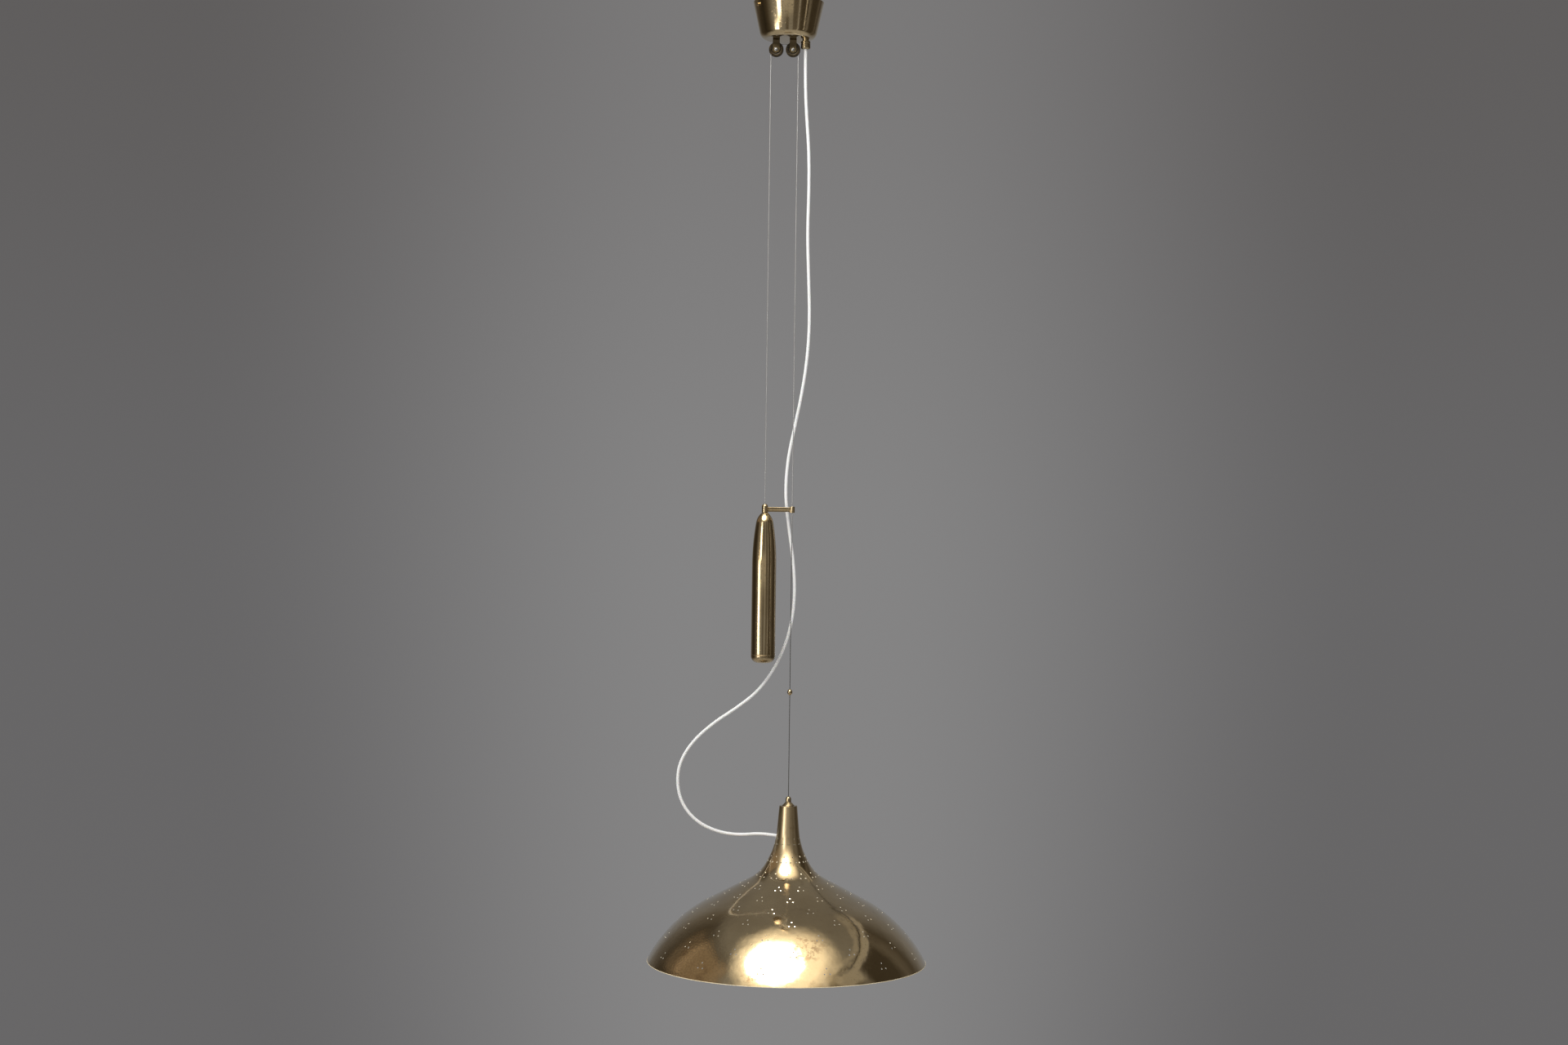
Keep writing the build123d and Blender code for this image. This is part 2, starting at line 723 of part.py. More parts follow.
with BuildPart() as counterweight_cap:
    with BuildSketch(Plane.XY.offset(weight_bottom_z)):
        with Locations((weight_x, 0)):
            Circle(weight_d / 2)
    extrude(amount=weight_cap_h)
    fillet(edges().group_by(Axis.Z)[0], radius=weight_cap_edge_r)
    with BuildSketch(Plane.XY.offset(cap_seam_z)):
        with Locations((weight_x, 0)):
            Circle(weight_d / 2 - weight_wall - fit_clearance)
    extrude(amount=weight_cap_spigot)
counterweight_cap.part.label = "counterweight_cap"
export_step(counterweight_cap.part, "parts/counterweight_cap.step")

# Guide post with its spigot through the nose, the arm and the eye on the lamp's wire
with BuildPart() as guide_post:
    with BuildSketch(upright_plane(weight_x)):
        with BuildLine():
            bore_r = wire_bore_d / 2
            shoulder_z = post_top_z - post_d / 2
            dome_z = shoulder_z + math.sqrt((post_d / 2) ** 2 - bore_r**2)
            Line((bore_r, spigot_end_z), (post_spigot_d / 2, spigot_end_z))
            Line((post_spigot_d / 2, spigot_end_z), (post_spigot_d / 2, weight_top_z))
            Line((post_spigot_d / 2, weight_top_z), (post_d / 2, weight_top_z))
            Line((post_d / 2, weight_top_z), (post_d / 2, shoulder_z))
            TangentArc((post_d / 2, shoulder_z), (bore_r, dome_z), tangent=(0, 1))
            Line((bore_r, dome_z), (bore_r, spigot_end_z))
        make_face()
    revolve(axis=upright_axis(weight_x))
guide_post.part.label = "guide_post"
export_step(guide_post.part, "parts/guide_post.step")

with BuildPart() as guide_arm:
    with BuildSketch(Plane.XY.offset(arm_z - arm_height / 2)):
        with Locations(((weight_x + lamp_x) / 2, 0)):
            Rectangle(lamp_x - weight_x, arm_gauge)
        with Locations((weight_x, 0)):
            Circle(post_d / 2 + axle_clearance, mode=Mode.SUBTRACT)
        with Locations((lamp_x, 0)):
            Circle(eye_d / 2 + axle_clearance, mode=Mode.SUBTRACT)
    extrude(amount=arm_height)
guide_arm.part.label = "guide_arm"
export_step(guide_arm.part, "parts/guide_arm.step")

with BuildPart() as guide_eye:
    with BuildSketch(Plane.XY.offset(arm_z - eye_h / 2)):
        with Locations((lamp_x, 0)):
            Circle(eye_d / 2)
            Circle(eye_bore_d / 2, mode=Mode.SUBTRACT)
    extrude(amount=eye_h)
    fillet(edges().filter_by(GeomType.CIRCLE).group_by(SortBy.RADIUS)[-1], radius=wire_d / 2)
guide_eye.part.label = "guide_eye"
export_step(guide_eye.part, "parts/guide_eye.step")

# Wire end inside the post, crimped in a ferrule below the spigot
ferrule_z = spigot_end_z - ferrule_h
with BuildPart() as counterweight_wire_end:
    with BuildSketch(Plane.XY.offset(ferrule_z)):
        with Locations((weight_x, 0)):
            Circle(wire_d / 2)
    extrude(amount=post_top_z - ferrule_z)
counterweight_wire_end.part.label = "counterweight_wire_end"
export_step(counterweight_wire_end.part, "parts/counterweight_wire_end.step")

with BuildPart() as counterweight_ferrule:
    with BuildSketch(Plane.XY.offset(ferrule_z)):
        with Locations((weight_x, 0)):
            Circle(ferrule_d / 2)
            Circle(wire_d / 2, mode=Mode.SUBTRACT)
    extrude(amount=ferrule_h)
counterweight_ferrule.part.label = "counterweight_ferrule"
export_step(counterweight_ferrule.part, "parts/counterweight_ferrule.step")

# Stop bead: an olive on the wire, locked by a grub screw from the back
bead_bore_r = wire_d / 2
with BuildPart() as stop_bead:
    with BuildSketch(upright_plane(lamp_x)):
        with BuildLine():
            bead_foot_z = bead_z - bead_h / 2
            RadiusArc((bead_d / 2, bead_z), (bead_tip_d / 2, bead_top_z), -bead_h / 2)
            RadiusArc((bead_tip_d / 2, bead_foot_z), (bead_d / 2, bead_z), -bead_h / 2)
            Polyline(
                (bead_tip_d / 2, bead_top_z),
                (bead_bore_r, bead_top_z),
                (bead_bore_r, bead_foot_z),
                (bead_tip_d / 2, bead_foot_z),
            )
        make_face()
    revolve(axis=upright_axis(lamp_x))
    with BuildSketch(Plane(origin=(lamp_x, 0, bead_z), z_dir=(0, 1, 0))):
        Circle(bead_screw_d / 2)
    extrude(amount=bead_d, mode=Mode.SUBTRACT)
stop_bead.part.label = "stop_bead"
export_step(stop_bead.part, "parts/stop_bead.step")

with BuildPart() as stop_bead_screw:
    with BuildSketch(Plane(origin=(lamp_x, wire_d / 2 + fit_clearance, bead_z), z_dir=(0, 1, 0))):
        Circle(bead_screw_d / 2 - fit_clearance)
    extrude(amount=bead_d / 2 - wire_d)
stop_bead_screw.part.label = "stop_bead_screw"
export_step(stop_bead_screw.part, "parts/stop_bead_screw.step")

# Wire from the bead into the hanger nipple, where a ferrule holds it
lamp_ferrule_top_z = nipple_top_z - nipple_roof
lamp_ferrule_z = lamp_ferrule_top_z - ferrule_h
with BuildPart() as lamp_wire_tail:
    with BuildSketch(Plane.XY.offset(lamp_ferrule_z)):
        with Locations((lamp_x, 0)):
            Circle(wire_d / 2)
    extrude(amount=bead_top_z - lamp_ferrule_z)
lamp_wire_tail.part.label = "lamp_wire_tail"
export_step(lamp_wire_tail.part, "parts/lamp_wire_tail.step")

with BuildPart() as lamp_ferrule:
    with BuildSketch(Plane.XY.offset(lamp_ferrule_z)):
        with Locations((lamp_x, 0)):
            Circle(ferrule_d / 2)
            Circle(wire_d / 2, mode=Mode.SUBTRACT)
    extrude(amount=ferrule_h)
lamp_ferrule.part.label = "lamp_ferrule"
export_step(lamp_ferrule.part, "parts/lamp_ferrule.step")

with BuildPart() as hanger_nipple:
    with BuildSketch(upright_plane(lamp_x)):
        with BuildLine():
            bore_r = wire_bore_d / 2
            chamber_r = stem_bore_d / 2
            shoulder_z = nipple_top_z - nipple_d / 2
            dome_z = shoulder_z + math.sqrt((nipple_d / 2) ** 2 - bore_r**2)
            Line((nipple_d / 2, cap_top_z), (nipple_d / 2, shoulder_z))
            TangentArc((nipple_d / 2, shoulder_z), (bore_r, dome_z), tangent=(0, 1))
            Polyline(
                (bore_r, dome_z),
                (bore_r, lamp_ferrule_top_z),
                (chamber_r, lamp_ferrule_top_z),
                (chamber_r, stem_top_z),
                (stem_d / 2, stem_top_z),
                (stem_d / 2, cap_top_z),
                (nipple_d / 2, cap_top_z),
            )
        make_face()
    revolve(axis=upright_axis(lamp_x))
hanger_nipple.part.label = "hanger_nipple"
export_step(hanger_nipple.part, "parts/hanger_nipple.step")

# Cone cap on the neck, with the threaded stem through it, a washer and a nut
with BuildPart() as neck_cap:
    with BuildSketch(upright_plane(lamp_x)):
        with BuildLine():
            Polyline(
                (stem_d / 2 + fit_clearance, neck_top_z),
                (neck_cap_d / 2, neck_top_z),
                (nipple_d / 2, cap_top_z),
                (stem_d / 2 + fit_clearance, cap_top_z),
                close=True,
            )
        make_face()
    revolve(axis=upright_axis(lamp_x))
neck_cap.part.label = "neck_cap"
export_step(neck_cap.part, "parts/neck_cap.step")

stem_bottom_z = holder_top_z - holder_wall
with BuildPart() as holder_stem:
    with BuildSketch(Plane.XY.offset(stem_bottom_z)):
        with Locations((lamp_x, 0)):
            Circle(stem_d / 2)
            Circle(stem_bore_d / 2, mode=Mode.SUBTRACT)
    extrude(amount=stem_top_z - stem_bottom_z)
holder_stem.part.label = "holder_stem"
export_step(holder_stem.part, "parts/holder_stem.step")

washer_z = neck_top_z - shade_wall - stem_washer_h
with BuildPart() as stem_washer:
    with BuildSketch(Plane.XY.offset(washer_z)):
        with Locations((lamp_x, 0)):
            Circle(stem_washer_d / 2)
            Circle(stem_d / 2 + fit_clearance, mode=Mode.SUBTRACT)
    extrude(amount=stem_washer_h)
stem_washer.part.label = "stem_washer"
export_step(stem_washer.part, "parts/stem_washer.step")

with BuildPart() as stem_nut:
    with BuildSketch(Plane.XY.offset(washer_z - stem_nut_h)):
        with Locations((lamp_x, 0)):
            RegularPolygon(stem_nut_width / 2, 6, major_radius=False)
            Circle(stem_d / 2, mode=Mode.SUBTRACT)
    extrude(amount=stem_nut_h)
stem_nut.part.label = "stem_nut"
export_step(stem_nut.part, "parts/stem_nut.step")


def shade_outline(inset):
    """Bell line from the neck's top to the rim: neck, waist, flare and dome, drawn in by an inset."""
    start = Vector(neck_top_d / 2 - inset, neck_top_z)
    waist = Vector(neck_d / 2 - inset, neck_top_z - neck_depth)
    flare = Vector(flare_d / 2 - inset, neck_top_z - flare_depth - inset / 2)
    shoulder = Vector(dome_d / 2 - inset, neck_top_z - dome_depth - inset / 2)
    bell = FilletPolyline(start, waist, flare, shoulder, radius=(neck_blend_r, flare_r))
    TangentArc(bell @ 1, (shade_d / 2 - inset, rim_z), tangent=bell % 1)


# Shade: one spun bell, its neck closed by a drilled flat, with a folded hem at the rim
inlet_out = compass(inlet_bearing, 1)
inlet_plane = Plane(origin=(lamp_x, 0, inlet_z), z_dir=(*inlet_out, 0))
with BuildPart() as shade_core:
    with BuildSketch(upright_plane(lamp_x)):
        with BuildLine():
            shade_outline(0)
            Polyline((neck_top_d / 2, neck_top_z), (0, neck_top_z), (0, rim_z), (shade_d / 2, rim_z))
        make_face()
    revolve(axis=upright_axis(lamp_x))

with BuildPart() as shade:
    add(shade_core.part)
    with BuildSketch(upright_plane(lamp_x)):
        with BuildLine():
            shade_outline(shade_wall)
            inside_top = (neck_top_d / 2 - shade_wall, neck_top_z)
            Polyline(inside_top, (0, neck_top_z), (0, rim_z), (shade_d / 2 - shade_wall, rim_z))
        make_face()
        with Locations((0, neck_top_z)):
            Rectangle(neck_top_d, 2 * shade_wall, mode=Mode.SUBTRACT)
    revolve(axis=upright_axis(lamp_x), mode=Mode.SUBTRACT)
    with BuildSketch(Plane.XY.offset(rim_z)):
        with Locations((lamp_x, 0)):
            Circle(shade_d / 2 - shade_wall)
            Circle(shade_d / 2 - shade_hem_wall, mode=Mode.SUBTRACT)
    extrude(amount=shade_hem_h)
    with Locations((lamp_x, 0, neck_top_z)):
        Hole(radius=stem_d / 2 + fit_clearance, depth=2 * shade_wall)
    with BuildSketch(inlet_plane):
        Circle(grommet_sleeve_d / 2 + fit_clearance)
    extrude(amount=neck_d, mode=Mode.SUBTRACT)
shade.part.label = "shade"
export_step(shade.part, "parts/shade.step")

# Grommet in the neck's wall, and the cord's sheathed end inside it
inlet_face_r = neck_d / 2 + grommet_stand
with BuildPart() as cord_grommet:
    with BuildSketch(inlet_plane):
        Circle(grommet_d / 2)
    extrude(amount=inlet_face_r)
    add(shade_core.part, mode=Mode.SUBTRACT)
    with BuildSketch(inlet_plane.offset(inlet_face_r - grommet_length)):
        Circle(grommet_sleeve_d / 2)
    extrude(amount=grommet_length)
    with BuildSketch(inlet_plane):
        Circle(cord_bore_r)
    extrude(amount=2 * inlet_face_r, mode=Mode.SUBTRACT)
    fillet(edges().filter_by(GeomType.CIRCLE).group_by(SortBy.RADIUS)[-1], radius=grommet_edge_r)
cord_grommet.part.label = "cord_grommet"
export_step(cord_grommet.part, "parts/cord_grommet.step")

sheath_end_r = inlet_face_r - grommet_length - core_d
with BuildPart() as cord_lamp_end:
    with BuildSketch(inlet_plane.offset(sheath_end_r)):
        Circle(cord_d / 2)
    extrude(amount=inlet_face_r - sheath_end_r)
cord_lamp_end.part.label = "cord_lamp_end"
export_step(cord_lamp_end.part, "parts/cord_lamp_end.step")

# Two cores from the sheath's end, down beside the stem and through the holder's cap
core_down_r = stem_d / 2 + 2 * core_d
core_foot_z = insert_top_z
with BuildPart() as lamp_cores:
    for across in (-core_ring_r, core_ring_r):
        end_x, end_y = compass(inlet_bearing, sheath_end_r, across)
        bend_x, bend_y = compass(inlet_bearing, core_down_r, across)
        route = [
            (lamp_x + end_x, end_y, inlet_z),
            (lamp_x + bend_x, bend_y, inlet_z),
            (lamp_x + bend_x, bend_y, core_foot_z),
        ]
        with BuildLine() as core_line:
            FilletPolyline(*route, radius=corner_radii(route, core_bend))
        with BuildSketch(Plane(origin=route[0], z_dir=(-inlet_out[0], -inlet_out[1], 0))):
            Circle(core_d / 2)
        sweep(path=core_line.line)
lamp_cores.part.label = "lamp_cores"
export_step(lamp_cores.part, "parts/lamp_cores.step")

# Lampholder: cap on the stem, shell screwed to it, ceramic insert on the shell's ledge
insert_r = holder_d / 2 - holder_wall - insert_clearance
with BuildPart() as holder_cap:
    with BuildSketch(upright_plane(lamp_x)):
        with BuildLine():
            cap_brow_z = holder_top_z - holder_cap_h / 2
            Line((stem_d / 2, holder_top_z), (holder_cap_top_d / 2, holder_top_z))
            brow = TangentArc((holder_cap_top_d / 2, holder_top_z), (holder_d / 2, cap_brow_z), tangent=(1, 0))
            inner_brow = (holder_d / 2 - holder_wall, cap_brow_z)
            inner_top = (holder_cap_top_d / 2 - holder_wall / 2, holder_top_z - holder_wall)
            Polyline(brow @ 1, (holder_d / 2, holder_seam_z), (inner_brow[0], holder_seam_z), inner_brow)
            TangentArc(inner_top, inner_brow, tangent=(1, 0))
            Polyline(inner_top, (stem_d / 2, holder_top_z - holder_wall), (stem_d / 2, holder_top_z))
        make_face()
    revolve(axis=upright_axis(lamp_x))
    with BuildSketch(Plane.XY.offset(holder_top_z)):
        for across in (-core_ring_r, core_ring_r):
            hole_x, hole_y = compass(inlet_bearing, core_down_r, across)
            with Locations((lamp_x + hole_x, hole_y)):
                Circle(core_d / 2 + fit_clearance)
    extrude(amount=-holder_cap_h, mode=Mode.SUBTRACT)
holder_cap.part.label = "holder_cap"
export_step(holder_cap.part, "parts/holder_cap.step")

with BuildPart() as holder_shell:
    with BuildSketch(upright_plane(lamp_x)):
        with BuildLine():
            Polyline(
                (holder_d / 2, holder_seam_z),
                (holder_d / 2, holder_mouth_z),
                (insert_r - insert_ledge, holder_mouth_z),
                (insert_r - insert_ledge, insert_bottom_z),
                (holder_d / 2 - holder_wall, insert_bottom_z),
                (holder_d / 2 - holder_wall, holder_seam_z),
                close=True,
            )
        make_face()
    revolve(axis=upright_axis(lamp_x))
holder_shell.part.label = "holder_shell"
export_step(holder_shell.part, "parts/holder_shell.step")

with BuildPart() as holder_insert:
    with BuildSketch(Plane.XY.offset(insert_bottom_z)):
        with Locations((lamp_x, 0)):
            Circle(insert_r)
    extrude(amount=insert_h)
    chamfer(edges().group_by(Axis.Z)[-1], length=insert_chamfer)
holder_insert.part.label = "holder_insert"
export_step(holder_insert.part, "parts/holder_insert.step")

with BuildPart() as holder_thread:
    with BuildSketch(Plane.XY.offset(holder_mouth_z)):
        with Locations((lamp_x, 0)):
            Circle(thread_shell_d / 2)
            Circle(thread_shell_d / 2 - thread_shell_wall, mode=Mode.SUBTRACT)
    extrude(amount=insert_bottom_z - holder_mouth_z)
holder_thread.part.label = "holder_thread"
export_step(holder_thread.part, "parts/holder_thread.step")

contact_z = insert_bottom_z - contact_height
with BuildPart() as holder_contact:
    with BuildSketch(Plane.XY.offset(insert_bottom_z)):
        with Locations((lamp_x, 0)):
            Rectangle(2 * contact_width, contact_width)
    with BuildSketch(Plane.XY.offset(contact_z)):
        with Locations((lamp_x, 0)):
            Rectangle(contact_width, contact_width)
    loft()
holder_contact.part.label = "holder_contact"
export_step(holder_contact.part, "parts/holder_contact.step")

# Bulb: screw base against the contact, and a hollow glass envelope below it
base_bottom_z = contact_z - bulb_tip_h - bulb_base_h
with BuildPart() as bulb_base:
    with BuildSketch(upright_plane(lamp_x)):
        with BuildLine():
            Polyline(
                (0, base_bottom_z),
                (bulb_base_d / 2, base_bottom_z),
                (bulb_base_d / 2, contact_z - bulb_tip_h),
                (bulb_tip_d / 2, contact_z),
                (0, contact_z),
                close=True,
            )
        make_face()
    revolve(axis=upright_axis(lamp_x))
bulb_base.part.label = "bulb_base"
export_step(bulb_base.part, "parts/bulb_base.step")

bulb_tip_z = base_bottom_z - bulb_glass_h
bulb_centre_z = bulb_tip_z + bulb_d / 2


def bulb_outline(inset):
    """Half outline of the glass: a throat that swells into a ball, drawn in by an inset."""
    ball_r = bulb_d / 2 - inset
    throat = (bulb_base_d / 2 - inset, base_bottom_z)
    belly = (ball_r, bulb_centre_z)
    swell = TangentArc(belly, throat, tangent=(0, 1))
    RadiusArc(belly, (0, bulb_centre_z - ball_r), ball_r)
    return swell @ 1


with BuildPart() as bulb_glass:
    with BuildSketch(upright_plane(lamp_x)):
        with BuildLine():
            outer_throat = bulb_outline(0)
            inner_throat = bulb_outline(bulb_glass_wall)
            Line(outer_throat, inner_throat)
            Line((0, bulb_tip_z), (0, bulb_tip_z + bulb_glass_wall))
        make_face()
    revolve(axis=upright_axis(lamp_x))
bulb_glass.part.label = "bulb_glass"
export_step(bulb_glass.part, "parts/bulb_glass.step")

# Loose cord: out of the grip, behind the weight and its arm, round a slack loop and into the neck
approach_r = inlet_face_r + cord_lead_in
inlet_face = (lamp_x + inlet_out[0] * inlet_face_r, inlet_out[1] * inlet_face_r, inlet_z)
cord_approach = (lamp_x + inlet_out[0] * approach_r, inlet_out[1] * approach_r, inlet_z)
cord_route = [
    (gland_x, 0, gland_mouth_z),
    (gland_x, 0, -130),
    (33, 2, -190),
    (38.5, 3, -258),
    (39, 4.5, -328),
    (37.5, 5, -398),
    (40.5, 7, -470),
    (43.5, 9, -545),
    (40, 10.5, -613),
    (31.5, 12, -672),
    (20, 13.5, -729),
    (8.5, 14.5, -786),
    (5, 15, -846),
    (12, 15.5, -904),
    (21, 16.5, -962),
    (24.5, 19, -1020),
    (18, 23, -1078),
    (-4, 27, -1133),
    (-39, 31, -1184),
    (-79, 34, -1215),
    (-118, 36, -1241),
    (-153, 37, -1273),
    (-175, 37, -1310),
    (-179, 37, -1349),
    (-168, 38, -1387),
    (-141, 39, -1416),
    (-105, 40, -1433),
    (-68, 40, -1438),
    (-37, 39, -1435),
    cord_approach,
    inlet_face,
]
cord_radii = corner_radii(cord_route)
with BuildPart() as supply_cord:
    with BuildLine() as cord_line:
        cord_wire = FilletPolyline(*cord_route, radius=cord_radii)
    with BuildSketch(Plane(origin=cord_wire @ 0, z_dir=cord_wire % 0)):
        Circle(cord_d / 2)
    sweep(path=cord_line.line)
supply_cord.part.label = "supply_cord"
export_step(supply_cord.part, "parts/supply_cord.step")

cord_length = cord_wire.length
cord_volume = cord_length * math.pi * (cord_d / 2) ** 2
print("cord radii", [round(radius, 1) for radius in cord_radii])
print("cord length", round(cord_length, 1))
print("cord volume", round(supply_cord.part.volume, 1), "of", round(cord_volume, 1))
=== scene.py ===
"""Looks of the rise-and-fall ceiling light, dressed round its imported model.

Metres, +Z up, front towards -Y.
"""

import math

import bmesh
import bpy
import numpy as np
from mathutils.geometry import delaunay_2d_cdt
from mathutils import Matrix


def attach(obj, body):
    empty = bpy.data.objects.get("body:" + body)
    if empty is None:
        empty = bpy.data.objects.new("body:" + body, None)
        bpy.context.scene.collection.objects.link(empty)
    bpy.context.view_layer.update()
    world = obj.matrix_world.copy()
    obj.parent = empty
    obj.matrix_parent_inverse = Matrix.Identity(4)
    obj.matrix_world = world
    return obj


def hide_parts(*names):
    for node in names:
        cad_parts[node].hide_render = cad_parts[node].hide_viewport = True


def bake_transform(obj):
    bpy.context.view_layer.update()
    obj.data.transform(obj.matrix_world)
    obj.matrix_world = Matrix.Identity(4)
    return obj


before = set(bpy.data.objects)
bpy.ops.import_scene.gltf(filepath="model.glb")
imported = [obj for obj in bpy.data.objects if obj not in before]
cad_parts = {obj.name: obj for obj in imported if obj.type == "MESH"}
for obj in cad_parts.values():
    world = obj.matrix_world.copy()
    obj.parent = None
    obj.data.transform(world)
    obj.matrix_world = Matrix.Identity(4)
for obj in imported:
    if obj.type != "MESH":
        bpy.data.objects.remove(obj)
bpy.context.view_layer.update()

# Ceiling bracket with its screws, hidden in the canopy.
# A zinc-plated steel strip with two ears bent down, held to the ceiling by screws through its two
# long holes, with an earth screw tapped into one arm.
mm = 0.001


class Tone:
    """One output of a node. Sums with numbers or tones add Math nodes, node() adds any other node."""

    def __init__(self, tree, socket):
        self.tree = tree
        self.socket = socket

    def node(self, kind, settings, sockets, output=0):
        """Adds a node of a kind, applies its settings, a ramp's stops among them, fills its sockets."""
        made = self.tree.nodes.new(kind)
        for name, value in settings.items():
            if name == "stops":
                elements = made.color_ramp.elements
                while len(elements) < len(value):
                    elements.new(1.0)
                for element, (place, colour) in zip(elements, value):
                    element.position = place
                    element.color = colour
            else:
                setattr(made, name, value)
        for key, value in sockets.items():
            if isinstance(value, Tone):
                self.tree.links.new(value.socket, made.inputs[key])
            else:
                made.inputs[key].default_value = value
        return Tone(self.tree, made.outputs[output])

    def feed(self, shader, name):
        """Links this tone to a socket of a shader."""
        self.tree.links.new(self.socket, shader.inputs[name])

    def between(self, low, high):
        """Colour between two colours or tones, this tone being the share of the second."""
        return self.node("ShaderNodeMix", {"data_type": "RGBA"}, {0: self, 6: low, 7: high}, 2)

    def step(self, low, high):
        """Smooth rise from 0 to 1 while this tone goes from low to high."""
        sockets = {"Value": self, "From Min": low, "From Max": high}
        return self.node("ShaderNodeMapRange", {"interpolation_type": "SMOOTHSTEP"}, sockets)

    def axis(self, number):
        """One coordinate of a place: 0 across, 1 in depth, 2 up."""
        return self.node("ShaderNodeSeparateXYZ", {}, {"Vector": self}, number)

    def reckon(self, operation, first, second):
        """Math node that works on two numbers or tones."""
        return self.node("ShaderNodeMath", {"operation": operation}, {0: first, 1: second})

    def __add__(self, other):
        return self.reckon("ADD", self, other)

    def __radd__(self, other):
        return self.reckon("ADD", other, self)

    def __sub__(self, other):
        return self.reckon("SUBTRACT", self, other)

    def __rsub__(self, other):
        return self.reckon("SUBTRACT", other, self)

    def __mul__(self, other):
        return self.reckon("MULTIPLY", self, other)

    def __rmul__(self, other):
        return self.reckon("MULTIPLY", other, self)


def start_finish(name, constants):
    """New material with constants on its shader's own sockets. Gives the material, the shader and the
    place on the piece."""
    material = bpy.data.materials.new(name)
    material.use_nodes = True
    tree = material.node_tree
    shader = tree.nodes["Principled BSDF"]
    for socket, value in constants.items():
        shader.inputs[socket].default_value = value
    place = Tone(tree, tree.nodes.new("ShaderNodeTexCoord").outputs["Object"])
    return material, shader, place


def mottle(place, scale, detail=4.0, roughness=0.55, stretch=(1.0, 1.0, 1.0)):
    """Cloudy noise of so many clouds per metre, drawn out along the axes by a stretch."""
    drawn = place.node("ShaderNodeMapping", {}, {"Vector": place, "Scale": stretch})
    sockets = {"Vector": drawn, "Scale": scale, "Detail": detail, "Roughness": roughness}
    return place.node("ShaderNodeTexNoise", {}, sockets)


def emboss(shader, height, depth, strength=1.0):
    """Bump of a height tone on a shader's normal, a tone of 1 standing so many metres proud."""
    sockets = {"Height": height, "Distance": depth, "Strength": strength}
    height.node("ShaderNodeBump", {}, sockets).feed(shader, "Normal")


def plain_metal(name, low, high, roughness, scale):
    """Bare metal whose colour drifts between two tones and whose gloss drifts with fine marks."""
    material, shader, place = start_finish(name, {"Metallic": 1.0})
    drift = mottle(place, scale, 5.0, 0.6)
    marks = mottle(place, scale * 9, 3.0, 0.6)
    drift.step(0.35, 0.65).between(low, high).feed(shader, "Base Color")
    (roughness + 0.18 * marks).feed(shader, "Roughness")
    emboss(shader, marks, 0.05 * mm, 0.6)
    return material


def dress(material, *nodes):
    """Gives CAD nodes a finish."""
    for node in nodes:
        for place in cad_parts[node].material_slots:
            place.material = material


zinc = plain_metal("zinc_plate", (0.34, 0.35, 0.36, 1), (0.52, 0.53, 0.54, 1), roughness=0.24, scale=60)
dress(zinc, "ceiling_bracket", "block_screw", "earth_screw", "terminal_screws")
dress(zinc, "fork_screws", "fork_washers", "fork_nuts", "stem_washer", "stem_nut", "holder_stem")
dress(zinc, "lamp_ferrule", "counterweight_ferrule")


# Terminal block, hidden in the canopy, with the cord grip's seal and the grommet of the lamp's neck.
# Block and grommet are moulded in milky plastic, and the seal is black rubber.
def moulded(name, low, high, roughness, scale, depth):
    """Moulded plastic: two near tones in soft clouds, with a fine grain in gloss and relief."""
    material, shader, place = start_finish(name, {"IOR": 1.5})
    cloud = mottle(place, scale, 3.0)
    grain = mottle(place, scale * 24, 2.0)
    cloud.step(0.3, 0.7).between(low, high).feed(shader, "Base Color")
    (roughness + 0.12 * grain).feed(shader, "Roughness")
    emboss(shader, grain, depth)
    return material


plastic_grain = 0.05 * mm
milky = moulded("milky_plastic", (0.74, 0.73, 0.70, 1), (0.83, 0.82, 0.79, 1), 0.34, 40, plastic_grain)
dress(milky, "terminal_block", "cord_grommet")
rubber = moulded("seal_rubber", (0.02, 0.02, 0.02, 1), (0.035, 0.035, 0.035, 1), 0.62, 80, plastic_grain)
dress(rubber, "gland_seal")


# Canopy: a spun brass cup with its mouth against the ceiling, held by two side screws.
# Polished long ago and lacquered, it has browned in clouds, with dull smudges and small dark spots.
def eased(corners, steps=7):
    """Outline through corners of radius, height and easing. An eased corner becomes the arc that touches
    both of its sides, found by turning from one touching point to the other about the arc's centre."""
    points = [np.array(corner[:2], float) for corner in corners]
    easings = [corner[2] for corner in corners[1:-1]]
    outline = [points[0][None]]
    for before, corner, after, easing in zip(points, points[1:], points[2:], easings):
        if easing == 0:
            outline.append(corner[None])
            continue
        back = (before - corner) / np.linalg.norm(before - corner)
        onward = (after - corner) / np.linalg.norm(after - corner)
        half = math.acos(np.clip(back @ onward, -1, 1)) / 2
        middle = corner + (back + onward) / np.linalg.norm(back + onward) * easing / math.sin(half)
        reach = easing / math.tan(half)
        outline.append(turn_about(middle, corner + back * reach, corner + onward * reach, steps))
    outline.append(points[-1][None])
    return np.concatenate(outline)


def eased_ring(corners, steps=7):
    """Closed outline through corners, the first of which stays sharp or lies on a straight side."""
    return eased([*corners, corners[0]], steps)[:-1]


def turn_about(middle, start, end, steps):
    """Arc about a middle: the arms to its start and end, mixed by the sines of the angle left and the
    angle gone."""
    first = np.asarray(start, float) - middle
    last = np.asarray(end, float) - middle
    span = math.acos(np.clip(first @ last / np.linalg.norm(first) / np.linalg.norm(last), -1, 1))
    share = np.linspace(0, 1, steps)[:, None]
    return middle + (np.sin((1 - share) * span) * first + np.sin(share * span) * last) / math.sin(span)


def set_out(name, data):
    """Object that carries a mesh, curve, light or camera, linked to the scene."""
    carrier = bpy.data.objects.new(name, data)
    bpy.context.scene.collection.objects.link(carrier)
    return carrier


merge_gap = 1e-7
sharp_angle = math.radians(32)


